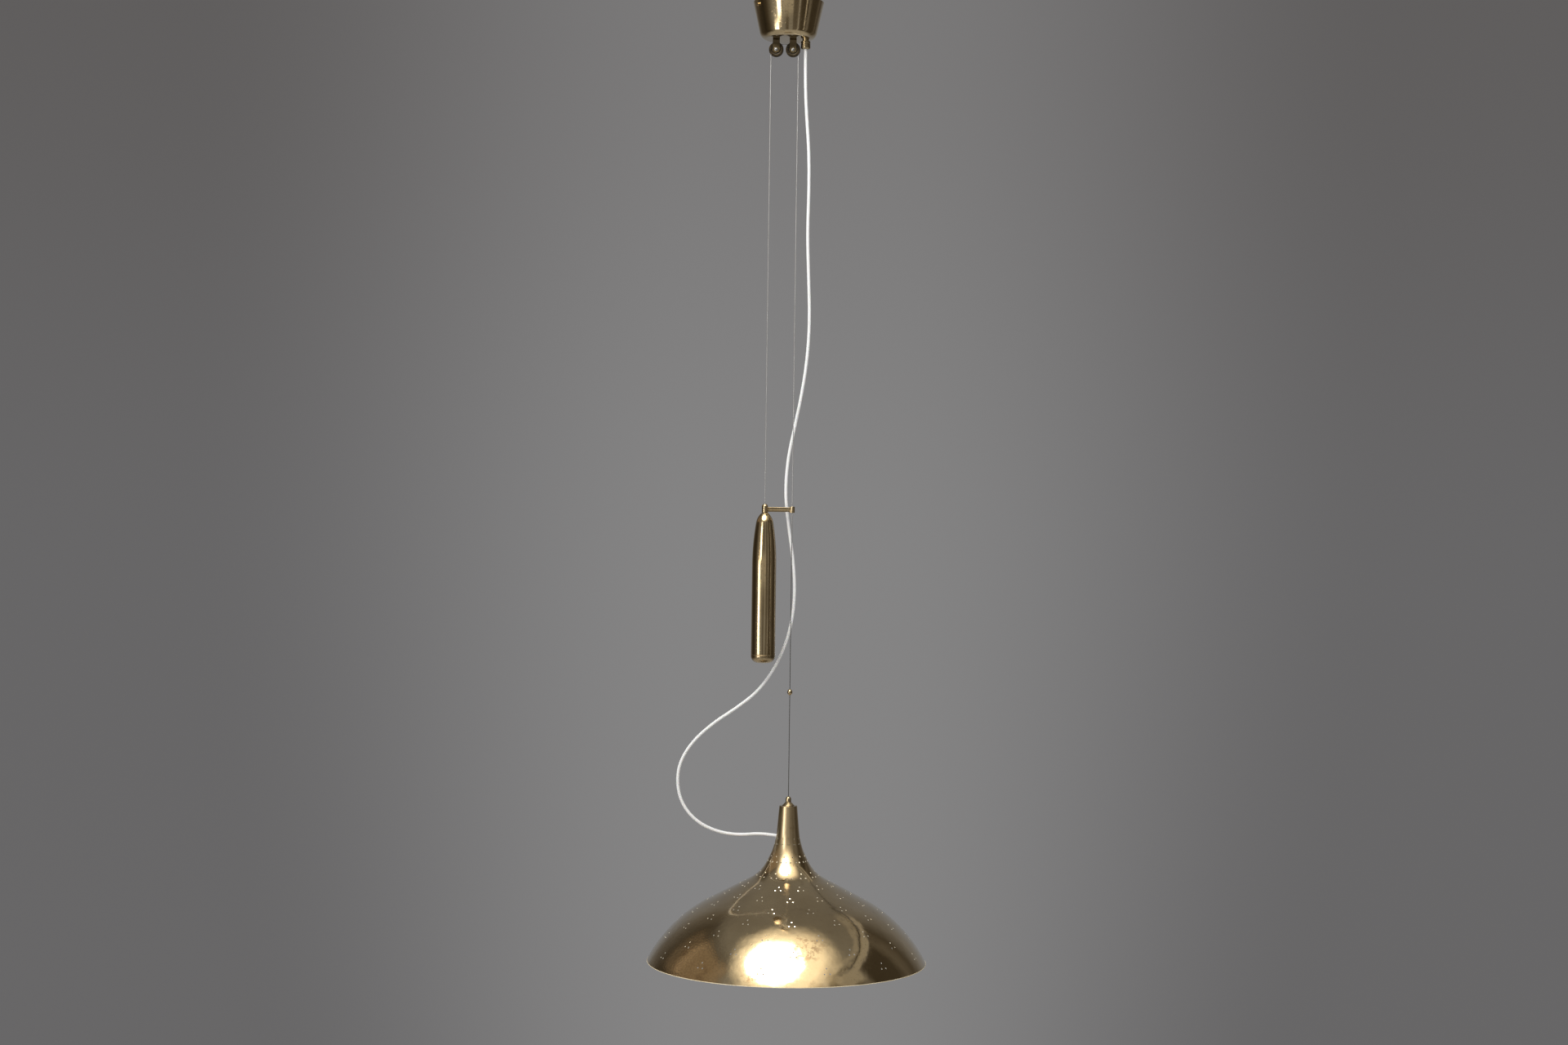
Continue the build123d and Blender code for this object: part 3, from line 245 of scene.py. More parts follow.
def set_mesh(name, points, faces, uv=None):
    """Mesh object from arrays of points and faces, doubled points merged and faces turned outwards."""
    mesh = bpy.data.meshes.new(name)
    mesh.from_pydata(points.tolist(), [], faces.tolist())
    if uv is not None:
        mesh.uv_layers.new(name="lay").uv.foreach_set("vector", uv.astype(np.float32).ravel())
    body = bmesh.new()
    body.from_mesh(mesh)
    bmesh.ops.remove_doubles(body, verts=body.verts, dist=merge_gap)
    bmesh.ops.recalc_face_normals(body, faces=body.faces)
    body.to_mesh(mesh)
    body.free()
    mesh.shade_smooth()
    mesh.set_sharp_from_angle(angle=sharp_angle)
    return set_out(name, mesh)


def grid_faces(rows, columns, loop=False):
    """Corner numbers of the quads on a grid, its columns joined in a ring, and its rows too in a loop."""
    row = np.arange(rows if loop else rows - 1)[:, None]
    column = np.arange(columns)[None, :]
    next_row = (row + 1) % rows
    next_column = (column + 1) % columns
    corners = (row * columns + column, row * columns + next_column)
    corners += (next_row * columns + next_column, next_row * columns + column)
    return np.stack(np.broadcast_arrays(*corners), -1).reshape(-1, 4)


def turned(name, outline, centre, along="z", segments=96, loop=False):
    """Surface of revolution: at a share of the turn, the outline's radius goes out by the turn's sine
    and cosine from the centre, and its height goes along the axis. A loop closes on itself."""
    outline = np.asarray(outline, float) * mm
    angle = np.linspace(0, 2 * np.pi, segments, endpoint=False)[None, :]
    radius = outline[:, :1]
    across = radius * np.sin(angle)
    outward = -radius * np.cos(angle)
    height = np.broadcast_to(outline[:, 1:], across.shape)
    order = (across, outward, height) if along == "z" else (across, height, -outward)
    points = np.stack(order, -1).reshape(-1, 3) + np.asarray(centre, float) * mm
    return set_mesh(name, points, grid_faces(len(outline), segments, loop))


def place_piece(piece, material, body, slot, *nodes):
    """Gives a piece its finish, the body it moves with and the CAD nodes it stands for, which it hides.
    The slot argument is not used.
    """
    piece.data.materials.append(material)
    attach(piece, body)
    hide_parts(*nodes)


clear_lacquer = {"Metallic": 1.0, "Coat Weight": 0.7, "Coat IOR": 1.5, "Coat Roughness": 0.06}
tarnished = (0.17, 0.11, 0.055, 1)


def aged_brass(name, bright, brown, gloss, wobble, tarnish, streak=(1.0, 1.0, 1.0)):
    """Polished brass gone brown: gold and brown in clouds, dark pits, smudged gloss with rubbing drawn
    out as streaks, a wobble left by spinning, and a few dents, one to a cell six centimetres wide."""
    material, shader, place = start_finish(name, clear_lacquer)
    cloud = mottle(place, 11, 6.0, 0.62)
    smudge = mottle(place, 34, 4.0, 0.6)
    speck = mottle(place, 240, 2.0, 0.5).step(0.62, 0.74)
    stain = mottle(place, 23, 7.0, 0.7).step(0.57, 0.74)
    rubbing = mottle(place, 420, 3.0, 0.6, streak).step(0.42, 0.68)
    gold = cloud.step(0.3, 0.72).between(bright, brown)
    dull = (speck * 0.5 + stain * 0.6 + rubbing * 0.3) * tarnish
    dull.between(gold, tarnished).feed(shader, "Base Color")
    (gloss + 0.08 * smudge + 0.22 * dull).feed(shader, "Roughness")
    cells = place.node("ShaderNodeTexVoronoi", {}, {"Vector": place, "Scale": 16.0})
    dents = cells.step(0.035, 0.008)
    spinning = mottle(place, 17, 2.0, 0.4) + 0.08 * mottle(place, 160, 2.0, 0.5, streak)
    emboss(shader, spinning * wobble - mm * (0.25 * dents + 0.05 * speck), 1.0)
    return material


gold_bright = (0.62, 0.485, 0.285, 1)
gold_brown = (0.47, 0.355, 0.195, 1)
canopy_brass = aged_brass(
    "canopy_brass", gold_bright, gold_brown, gloss=0.07, wobble=0.35 * mm, tarnish=0.6
)
canopy_line = eased(
    [
        (0, -63, 0),
        (47, -63, 13),
        (61.2, 0, 0.45),
        (60.17, 0, 0.45),
        (46.2, -62, 12),
        (0, -62, 0),
    ],
    14,
)
canopy = turned("canopy_cup", canopy_line, (0, 0, 0), segments=160)
place_piece(canopy, canopy_brass, "ceiling", "polished_brass", "canopy")
dress(canopy_brass, "canopy_screws")

# Pulley forks: brass straps bent to a U, bolted under the canopy's floor, painted dark as the shade
# under it. The wheels are turned brass with a raised hub and a deep groove, painted darker still as
# shade, and they run on riveted steel pins.
# The forks' dark brass is painted shade under the canopy.
fork_painted_shade_bright = (0.15, 0.115, 0.056, 1)
fork_painted_shade_brown = (0.095, 0.07, 0.034, 1)
fork_brass_painted_shade = aged_brass("fork_brass_painted_shade", fork_painted_shade_bright, fork_painted_shade_brown, gloss=0.3, wobble=0.15 * mm, tarnish=1.0)
dress(fork_brass_painted_shade, "left_pulley_fork", "right_pulley_fork")
# The wheels' near-black brass is painted shade under the canopy, not their own colour.
wheel_painted_shade_bright = (0.05, 0.038, 0.021, 1)
wheel_painted_shade_brown = (0.03, 0.0225, 0.012, 1)
wheel_brass_painted_shade = aged_brass(
    "wheel_brass_painted_shade", wheel_painted_shade_bright, wheel_painted_shade_brown, gloss=0.3, wobble=0.15 * mm, tarnish=0.6
)
half_wheel = [
    (2.05, 3.0, 0.2),
    (5.0, 3.0, 0.35),
    (5.0, 1.8, 0.3),
    (8.15, 1.8, 0.3),
    (8.15, 3.0, 0.35),
    (12.6, 3.0, 0.5),
    (12.6, 2.2, 0.3),
    (8.15, 0.85, 0.4),
]
back_wheel = [(radius, -out, easing) for radius, out, easing in half_wheel[::-1]]
wheel_line = eased_ring([(2.05, 0, 0), *half_wheel, (8.15, 0, 0), *back_wheel], 5)
half_pin = [(2.0, 5.0, 0), (3.5, 5.0, 0.15), (3.2, 5.75, 0.5), (1.9, 6.3, 1.2), (0, 6.4, 0)]
back_pin = [(radius, -out, easing) for radius, out, easing in half_pin[::-1]]
pin_line = eased(back_pin + half_pin, 5)
pin_steel = plain_metal(
    "pin_steel", (0.40, 0.40, 0.39, 1), (0.62, 0.61, 0.58, 1), roughness=0.16, scale=90
)
axle_z = -80.5
for side, axle_x in (("left", -20.5), ("right", 8.5)):
    axle = (axle_x, 0, axle_z)
    wheel = turned(side + "_grooved_wheel", wheel_line, axle, "y", 72, True)
    place_piece(wheel, wheel_brass_painted_shade, side + "_pulley", "polished_brass", side + "_pulley_wheel")
    pin = turned(side + "_riveted_pin", pin_line, axle, "y", 40)
    place_piece(pin, pin_steel, "ceiling", "steel", side + "_pulley_axle")

# Cord grip: a turned brass body through the canopy's floor with a cap nut below, its edges broken.
# The nut squeezes a rubber ring on the cord.
grip_x = 30.0
grip_body_line = eased_ring(
    [
        (2.85, -73.9, 0),
        (5.75, -73.9, 0),
        (5.75, -63, 0),
        (5.0, -63, 0),
        (5.0, -53, 0.4),
        (2.85, -53, 0),
    ]
)
grip_nut_line = eased_ring(
    [
        (2.85, -79.6, 0),
        (6.25, -79.6, 0.5),
        (8.25, -77.6, 0.7),
        (8.25, -70.6, 0.15),
        (7.85, -70.2, 0.1),
        (7.85, -69.6, 0.1),
        (8.25, -69.2, 0.15),
        (8.25, -66, 0.6),
        (5.85, -66, 0),
        (5.85, -76.6, 0),
        (2.85, -76.6, 0),
    ],
    5,
)
grip_brass = aged_brass(
    "grip_brass", (0.46, 0.36, 0.20, 1), (0.30, 0.23, 0.12, 1), gloss=0.1, wobble=0.12 * mm, tarnish=0.7
)
grip_body = turned("grip_body", grip_body_line, (grip_x, 0, 0), segments=64, loop=True)
place_piece(grip_body, grip_brass, "ceiling", "polished_brass", "gland_body")
grip_nut = turned("grip_cap_nut", grip_nut_line, (grip_x, 0, 0), segments=64, loop=True)
place_piece(grip_nut, grip_brass, "ceiling", "polished_brass", "gland_nut")
dress(grip_brass, "gland_locknut")

# Supply cord: round white PVC flex, 5.4 mm thick, from the grip behind the weight's arm, round a slack
# loop and into the back of the lamp's neck. It bends softly, with faint kinks and grey handling marks.
cord_route = [
    (30, 0, -79.6),
    (30, 0, -130),
    (33, 2, -190),
    (38.5, 3, -258),
    (39, 4.5, -328),
    (37.5, 5, -398),
    (40.5, 7, -470),
    (43.5, 9, -545),
    (40, 10.5, -613),
    (31.5, 12, -672),
    (20, 13.5, -729),
    (8.5, 14.5, -786),
    (5, 15, -846),
    (12, 15.5, -904),
    (21, 16.5, -962),
    (24.5, 19, -1020),
    (18, 23, -1078),
    (-2, 27, -1135),
    (-35, 31, -1186),
    (-76, 34, -1218),
    (-115, 36, -1244),
    (-150, 37, -1276),
    (-172, 37, -1312),
    (-176.5, 37, -1350),
    (-166.5, 38, -1387),
    (-141, 39, -1416),
    (-105, 40, -1433),
    (-68, 40, -1438),
    (-37, 39, -1435),
    (-12.78, 36.08, -1436),
    (2.65, 17.70, -1436),
]
cord_thick = 5.4


def smooth_line(route):
    """Points along the NURBS spline that has a route's points as its control points."""
    curve = bpy.data.curves.new("route", "CURVE")
    curve.dimensions = "3D"
    curve.resolution_u = 14
    spline = curve.splines.new("NURBS")
    spline.points.add(len(route) - 1)
    control = np.column_stack([np.asarray(route, float) * mm, np.ones(len(route))])
    spline.points.foreach_set("co", control.ravel())
    spline.order_u = 3
    spline.use_endpoint_u = True
    carrier = set_out("route", curve)
    bpy.context.view_layer.update()
    line_mesh = bpy.data.meshes.new_from_object(carrier)
    line = np.empty(len(line_mesh.vertices) * 3)
    line_mesh.vertices.foreach_get("co", line)
    bpy.data.objects.remove(carrier)
    bpy.data.curves.remove(curve)
    bpy.data.meshes.remove(line_mesh)
    return line.reshape(-1, 3)


def tube(name, line, thick, sides):
    """A circle carried along a line: each ring lies across the line's heading, its arms being the
    heading crossed with the depth axis and that arm crossed back. End rings shrink to a point to
    close the tube."""
    heading = np.gradient(line, axis=0)
    heading /= np.linalg.norm(heading, axis=1)[:, None]
    arm = np.cross(heading, (0.0, 1.0, 0.0))
    arm /= np.linalg.norm(arm, axis=1)[:, None]
    other = np.cross(arm, heading)
    angle = np.linspace(0, 2 * np.pi, sides, endpoint=False)
    ring = np.cos(angle)[None, :, None] * arm[:, None] + np.sin(angle)[None, :, None] * other[:, None]
    size = np.full(len(line) + 2, thick / 2 * mm)
    size[[0, -1]] = 0
    rows = np.r_[0, np.arange(len(line)), len(line) - 1]
    points = line[rows][:, None] + size[:, None, None] * ring[rows]
    run = np.r_[0, np.cumsum(np.linalg.norm(np.diff(line, axis=0), axis=1))][rows]
    faces = grid_faces(len(rows), sides)
    row = faces // sides
    turn = faces % sides
    turn[:, 1:3] = np.where(turn[:, 1:3] == 0, sides, turn[:, 1:3])
    uv = np.stack([turn / sides, run[row]], -1)
    return set_mesh(name, points.reshape(-1, 3), faces, uv)


cord_line = smooth_line(cord_route)
cord = tube("white_flex", cord_line, cord_thick, 20)
flex, flex_shader, flex_place = start_finish("white_flex", {"IOR": 1.5, "Subsurface Weight": 0.04})
handled = mottle(flex_place, 9, 5.0, 0.65, (1, 1, 0.5)).step(0.5, 0.8)
kinks = mottle(flex_place, 45, 3.0)
handled.between((0.90, 0.90, 0.895, 1), (0.80, 0.795, 0.78, 1)).feed(flex_shader, "Base Color")
(0.34 + 0.2 * kinks).feed(flex_shader, "Roughness")
emboss(flex_shader, kinks + 0.06 * mottle(flex_place, 900, 2.0), 0.25 * mm)
cord.data.materials.append(flex)
dress(flex, "cord_canopy_end", "cord_lamp_end")
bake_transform(cord)
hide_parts("supply_cord")

# Cores of the cord: copper in coloured PVC, bared where the sheath ends. Three climb to the terminal
# block in the canopy, and two go down beside the lamp's stem into the holder's cap.
core_thick = 2.0
core_sides = 14
core_grain = 0.03 * mm
brown_pvc = moulded("brown_core", (0.10, 0.042, 0.018, 1), (0.14, 0.062, 0.028, 1), 0.32, 60, core_grain)
blue_pvc = moulded("blue_core", (0.03, 0.10, 0.30, 1), (0.045, 0.14, 0.38, 1), 0.32, 60, core_grain)


def within(tone, low, high, soft):
    """Smooth window: 1 while a tone lies between two limits, falling to 0 over a soft edge outside."""
    return tone.step(low - soft, low) * tone.step(high + soft, high)


striped_pvc, stripe_shader, stripe_place = start_finish("striped_core", {"IOR": 1.5})
stripe_turn = stripe_place.node("ShaderNodeUVMap", {"uv_map": "lay"}, {}).axis(0)
stripe_grain = mottle(stripe_place, 1400, 2.0)
yellow_share = within(stripe_turn, 0.30, 0.70, 0.02)
yellow_share.between((0.03, 0.20, 0.05, 1), (0.72, 0.56, 0.06, 1)).feed(stripe_shader, "Base Color")
(0.32 + 0.12 * stripe_grain).feed(stripe_shader, "Roughness")
emboss(stripe_shader, stripe_grain, core_grain)
sheath_end = -47.6
fan_low = -41.6
fan_high = -17.5
block_level = -7.5
for colour, pvc, start, way in (
    ("brown", brown_pvc, (29.3, -1.21), (21.72, -3.62)),
    ("blue", blue_pvc, (29.3, 1.21), (28.65, 0.38)),
    ("striped", striped_pvc, (31.4, 0), (35.58, 4.38)),
):
    into_block = (way[0] - 3.0, way[1] + 5.19, block_level)
    route = [(*start, sheath_end), (*start, fan_low), (*way, fan_high), (*way, block_level), into_block]
    core = tube(colour + "_canopy_core", smooth_line(route), core_thick, core_sides)
    place_piece(core, pvc, "ceiling", "core_insulation", "canopy_cores")
neck_entry = -1436
into_holder = -1466.3
for colour, pvc, start, way in (
    ("brown", brown_pvc, (7.69, 9.52), (11.28, 5.23)),
    ("blue", blue_pvc, (9.83, 11.32), (13.43, 7.03)),
):
    route = [(*start, neck_entry), (*way, neck_entry), (*way, into_holder)]
    core = tube(colour + "_lamp_core", smooth_line(route), core_thick, core_sides)
    place_piece(core, pvc, "lamp", "core_insulation", "lamp_cores")

# Suspension wire: thin twisted steel rope over both wheels, down to the weight and down to the lamp.
# Drawn at rest, though its free stretches grow and shrink with the lamp. Bright above, darker lower.
wire_thick = 1.2
rope, rope_shader, rope_place = start_finish("twisted_wire", {"Metallic": 1.0})
rope_lay = rope_place.node("ShaderNodeUVMap", {"uv_map": "lay"}, {})
rope_twist = rope_lay.node("ShaderNodeMapping", {}, {"Vector": rope_lay, "Scale": (2.0, 130.0, 1.0)})
twist_sockets = {"Vector": rope_twist, "Scale": 1.0}
strand = rope_twist.node("ShaderNodeTexWave", {"bands_direction": "DIAGONAL"}, twist_sockets, 1)
rope_height = rope_place.axis(2)
# The rope's colour is set by height: light grey above, dark towards the lamp.
high_wire_tone = strand.between((0.78, 0.78, 0.78, 1), (0.94, 0.94, 0.93, 1))
low_wire_tone = strand.between((0.07, 0.065, 0.06, 1), (0.24, 0.23, 0.21, 1))
rope_height.step(-0.96, -0.84).between(low_wire_tone, high_wire_tone).feed(rope_shader, "Base Color")
(0.48 - 0.16 * strand).feed(rope_shader, "Roughness")
emboss(rope_shader, strand, 0.04 * mm)
dress(zinc, "pulley_wire", "counterweight_wire_end")
weight_x = -29.5
lamp_x = 17.5
wheel_leave = -85
bead_top = -1180.75


def plumb_line(x, top, foot, rows):
    """Points straight down at a place across, spread evenly from a top to a foot."""
    return np.column_stack([np.full(rows, x), np.zeros(rows), np.linspace(top, foot, rows)]) * mm


for name, x, foot, body, node in (
    ("weight_wire", weight_x, -862, "counterweight", "counterweight_wire"),
    ("lamp_wire_run", lamp_x, bead_top, "lamp", "lamp_wire"),
):
    wire_line = plumb_line(x, wheel_leave, foot, 60)
    wire = tube(name, wire_line, wire_thick, 10)
    wire.data.materials.append(rope)
    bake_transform(wire)
    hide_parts(node)
tail = tube("lamp_wire_end", plumb_line(lamp_x, bead_top, -1374, 20), wire_thick, 10)
place_piece(tail, rope, "lamp", "steel", "lamp_wire_tail")


# Counterweight: a drawn brass tube with a pointed nose, closed below by a turned cap with a fine seam.
# Cast iron inside balances the lamp. The polish is good, with soft vertical rubbing and a few dents,
# and a bore in the nose holds the set screw.
def tangent_arc(start, heading, end, steps):
    """Arc that leaves start along a heading and ends at end: its centre lies square to the heading, as
    far off as the chord's square over twice the chord's share along that square direction."""
    start = np.asarray(start, float)
    end = np.asarray(end, float)
    chord = end - start
    square = np.array([-heading[1], heading[0]], float)
    square /= np.linalg.norm(square)
    middle = start + square * (chord @ chord) / (2 * chord @ square)
    return turn_about(middle, start, end, steps)


def last_heading(points):
    """Direction of an outline's last step."""
    return (points[-1] - points[-2]) / np.linalg.norm(points[-1] - points[-2])


weight_top = -877.0
weight_seam = -1122.0
weight_r = 21
ogive = tangent_arc((weight_r, weight_top - 90), (0, 1), (15, weight_top - 17.6), 40)
nose = tangent_arc(ogive[-1], last_heading(ogive), (4.5, weight_top), 24)
casing_foot = eased(
    [(0, weight_seam, 0), (weight_r, weight_seam, 0.5), (weight_r, weight_top - 100, 0)], 5
)
casing_line = np.concatenate([casing_foot, ogive, nose[1:], [(0, weight_top)]])
weight_brass = aged_brass(
    "weight_brass",
    gold_bright,
    (0.50, 0.375, 0.20, 1),
    gloss=0.10,
    wobble=0.25 * mm,
    tarnish=0.9,
    streak=(1.0, 1.0, 0.03),
)
casing = turned("weight_casing", casing_line, (weight_x, 0, 0), segments=128)
bore_bearing = math.radians(22)
bore_way = np.array([math.sin(bore_bearing), -math.cos(bore_bearing), 0.0])
bore_line = np.linspace(3.1, 18, 4)[:, None] * bore_way + (weight_x, 0, weight_top - 4.5)
bore_thick = 3.0
bore = tube("set_screw_bore", bore_line * mm, bore_thick, 28)
cut = casing.modifiers.new("set_screw_bore", "BOOLEAN")
cut.object = bore
bpy.context.view_layer.update()
bored = bpy.data.meshes.new_from_object(casing.evaluated_get(bpy.context.evaluated_depsgraph_get()))
casing.modifiers.clear()
casing.data = bored
bored.set_sharp_from_angle(angle=sharp_angle)
bpy.data.objects.remove(bore)
casing_nodes = ("counterweight_casing", "counterweight_ballast")
place_piece(casing, weight_brass, "counterweight", "polished_brass", *casing_nodes)
cap_foot = -1136
cap_line = eased(
    [(0, cap_foot, 0), (weight_r, cap_foot, 12), (weight_r, weight_seam, 0.5), (0, weight_seam, 0)], 14
)
weight_cap = turned("weight_cap", cap_line, (weight_x, 0, 0), segments=128)
cap_brass = aged_brass(
    "cap_brass", (0.60, 0.46, 0.26, 1), (0.36, 0.265, 0.14, 1), gloss=0.2, wobble=0.2 * mm, tarnish=1.5
)
place_piece(weight_cap, cap_brass, "counterweight", "polished_brass", "counterweight_cap")
dark_steel = plain_metal(
    "dark_steel", (0.05, 0.05, 0.05, 1), (0.12, 0.115, 0.11, 1), roughness=0.34, scale=120
)
dress(dark_steel, "counterweight_set_screw", "stop_bead_screw")

# Guide on top of the weight: a domed brass post, a flat bar and an eye that runs on the lamp's wire.
# The bar is silver-soldered to both, with its long edges lightly broken.
post_r = 5.5
post_round = -867.5
post_top = -862.05
post_line = np.concatenate(
    [
        [(0, weight_top), (post_r, weight_top), (post_r, -872), (post_r, post_round)],
        turn_about(np.array([0.0, post_round]), (post_r, post_round), (0.75, post_top), 18)[1:],
        [(0, post_top)],
    ]
)
post = turned("guide_post_dome", post_line, (weight_x, 0, 0), segments=72)
place_piece(post, weight_brass, "counterweight", "polished_brass", "guide_post")


def carried_bar(name, outline, stations):
    """A closed outline across the run, carried along X through stations, its ends drawn to a point."""
    outline = np.asarray(outline, float)
    inner = outline.mean(0)
    share = np.r_[0, np.ones(len(stations)), 0][:, None, None]
    run = np.r_[stations[0], stations, stations[-1]][:, None]
    across = inner + (outline - inner)[None] * share
    points = np.stack([np.broadcast_to(run, across.shape[:2]), across[..., 0], across[..., 1]], -1)
    return set_mesh(name, points.reshape(-1, 3) * mm, grid_faces(len(run), len(outline)))


bar_outline = eased_ring(
    [(-1.5, -872, 0), (-1.5, -868, 0.4), (1.5, -868, 0.4), (1.5, -876, 0.4), (-1.5, -876, 0.4)], 5
)
bar = carried_bar("guide_bar", bar_outline, np.linspace(weight_x + 5.0, lamp_x - 4.0, 12))
place_piece(bar, weight_brass, "counterweight", "polished_brass", "guide_arm")
eye_line = eased_ring(
    [
        (1.2, -872, 0),
        (1.2, -866.65, 0.3),
        (4.4, -866.65, 0.7),
        (4.4, -877.35, 0.7),
        (1.2, -877.35, 0.3),
    ],
    6,
)
eye = turned("guide_eye_ring", eye_line, (lamp_x, 0, 0), segments=56, loop=True)
place_piece(eye, weight_brass, "counterweight", "polished_brass", "guide_eye")

# Stop bead: an olive turned from brass rod, locked on the lamp's wire by a grub screw at the back.
# It keeps the lamp from rising past the eye.
bead_middle = -1186
bead_up = tangent_arc((4.5, bead_middle), (0, 1), (1.3, bead_top), 14)
bead_down = bead_up[::-1] * (1, -1) + (0, 2 * bead_middle)
bead_line = np.concatenate(
    [[(0, 2 * bead_middle - bead_top)], bead_down, bead_up[1:], [(0, bead_top)]]
)
bead = turned("stop_bead_olive", bead_line, (lamp_x, 0, 0), segments=48)
place_piece(bead, weight_brass, "lamp", "polished_brass", "stop_bead")

# Hanger: a domed nipple screwed on the stem over a cone cap, both turned brass, on the neck's flat top.
# The wire's crimped end sits inside the nipple.
neck_brass = aged_brass("neck_brass", gold_bright, gold_brown, gloss=0.12, wobble=0.12 * mm, tarnish=0.6)
nipple_r = 4.85
nipple_foot = -1375
nipple_round = -1369.85
nipple_top = -1365.05
nipple_line = np.concatenate(
    [
        eased([(0, nipple_foot, 0), (nipple_r, nipple_foot, 0.35), (nipple_r, nipple_round, 0)]),
        turn_about(np.array([0.0, nipple_round]), (nipple_r, nipple_round), (0.7, nipple_top), 16)[1:],
        [(0, nipple_top)],
    ]
)
nipple = turned("hanger_dome", nipple_line, (lamp_x, 0, 0), segments=56)
place_piece(nipple, neck_brass, "lamp", "polished_brass", "hanger_nipple")
neck_top = -1381.0
cone_line = eased(
    [
        (0, neck_top, 0),
        (10.75, neck_top, 0.35),
        (10.5, -1380.2, 0.3),
        (5.1, nipple_foot, 0.4),
        (0, nipple_foot, 0),
    ],
    5,
)
cone = turned("hanger_cone", cone_line, (lamp_x, 0, 0), segments=72)
place_piece(cone, neck_brass, "lamp", "polished_brass", "neck_cap")

# Shade: one spun brass bell, polished outside and lacquered cream inside, with a folded hem at the rim.
# It is punched all over with groups of three small holes, one above two, that let the light through.
rim = neck_top - 267.5
wall = 0.8
bell_top = eased(
    [
        (15.3, neck_top, 0),
        (21.3, neck_top - 67.3, 120),
        (45.7, neck_top - 115.6, 72),
        (135, neck_top - 162.5, 0),
    ],
    60,
)
bell_dome = tangent_arc(bell_top[-1], last_heading(bell_top), (240, rim), 160)
bell = np.concatenate([bell_top, bell_dome[1:]])
bell_run = np.r_[0, np.cumsum(np.linalg.norm(np.diff(bell, axis=0), axis=1))]
fine_run = np.linspace(0.4, bell_run[-1] - 0.6, 4000)
fine_radius = np.interp(fine_run, bell_run, bell[:, 0])
fine_rise = np.r_[0, np.cumsum(np.diff(fine_run) * 2 / (fine_radius[1:] + fine_radius[:-1]))]
hole_r = 1.25
row_pitch = 31.5
first_row = 65.1
groups = 13
group_angle = 2 * np.pi / groups
first_turn = math.radians(182.1)
row_turn = group_angle * 0.504


def bell_lean(run):
    """Turn of the pattern at a run along the bell: about half a group a row, to stagger the rows."""
    return first_turn + row_turn * (run - first_row) / row_pitch


def on_bell(turn, rise, depth):
    """Point and outward direction on the bell: the outline's radius taken round by the turn plus the
    lean, and set in along the outline's normal by a depth. Rise is the sum of run over radius, so
    shapes keep their form."""
    run = np.interp(rise, fine_rise, fine_run)
    radius = np.interp(run, bell_run, bell[:, 0])
    height = np.interp(run, bell_run, bell[:, 1])
    slope = np.gradient(bell, bell_run, axis=0)
    down = np.interp(run, bell_run, slope[:, 1])
    out = np.interp(run, bell_run, slope[:, 0])
    size = np.hypot(down, out)
    angle = turn + bell_lean(run)
    normal = np.stack([-down / size * np.sin(angle), down / size * np.cos(angle), out / size], -1)
    point = np.stack([lamp_x + radius * np.sin(angle), -radius * np.cos(angle), height], -1)
    return point - normal * depth, normal


# The holes: each is a ring of corners on the bell laid out flat, turn across and rise down.
row_number = np.arange(10)
rows = first_row + row_pitch * row_number
pattern_shape = (groups, len(rows), 3)
pair_width = np.where(row_number == 0, 2.6, 9.6)
group_tall = 9.8
holes_run = np.stack([rows, rows, rows - group_tall], -1)
holes_radius = np.interp(holes_run, bell_run, bell[:, 0])
holes_step = np.stack([-pair_width / 2, pair_width / 2, np.zeros(len(rows))], -1) / holes_radius
group_turn = (np.arange(groups) + 0.5) * group_angle
row_lean = bell_lean(rows)[:, None] - bell_lean(holes_run)
holes_turn = (group_turn[:, None, None] + (holes_step + row_lean)[None]).ravel()
holes_rise = np.broadcast_to(np.interp(holes_run, fine_run, fine_rise), pattern_shape).ravel()
row_hole_r = np.where(row_number == 0, 0.85, hole_r)[:, None]
holes_size = np.broadcast_to(row_hole_r / holes_radius, pattern_shape).ravel()
corner_count = 10
corner_angle = np.linspace(0, 2 * np.pi, corner_count, endpoint=False)
ring_rise = holes_rise[:, None] + holes_size[:, None] * np.sin(corner_angle)
ring_lean = bell_lean(np.interp(ring_rise, fine_rise, fine_run))
holes_angle = holes_turn + bell_lean(np.interp(holes_rise, fine_rise, fine_run))
ring_turn = holes_angle[:, None] + holes_size[:, None] * np.cos(corner_angle) - ring_lean
ring_flat = np.stack([ring_turn, ring_rise], -1).reshape(-1, 2)
# The sheet between them: an even net of points, left out where it comes too near a hole.
net_columns = 112
columns = np.linspace(0, 2 * np.pi, net_columns + 1)
levels = np.linspace(0, fine_rise[-1], int(fine_rise[-1] / (2 * np.pi / net_columns)) + 1)
net_flat = np.stack(np.meshgrid(columns, levels), -1).reshape(-1, 2)
net_angle = net_flat[:, 0] + bell_lean(np.interp(net_flat[:, 1], fine_rise, fine_run))
net_gap = np.full(len(net_flat), np.inf)
for part in np.array_split(np.arange(len(holes_turn)), 30):
    reach = np.hypot(net_angle[:, None] - holes_angle[part], net_flat[:, 1:] - holes_rise[part])
    net_gap = np.minimum(net_gap, (reach / holes_size[part]).min(1))
net_edge = (net_flat[:, 0] == columns[0]) | (net_flat[:, 0] == columns[-1])
hole_clear = 1.7
flat = np.concatenate([ring_flat, net_flat[(net_gap > hole_clear) | net_edge]])
ring_first = np.arange(len(ring_flat))
ring_next = ring_first - ring_first % corner_count + (ring_first + 1) % corner_count
cut_edges = np.stack([ring_first, ring_next], -1)
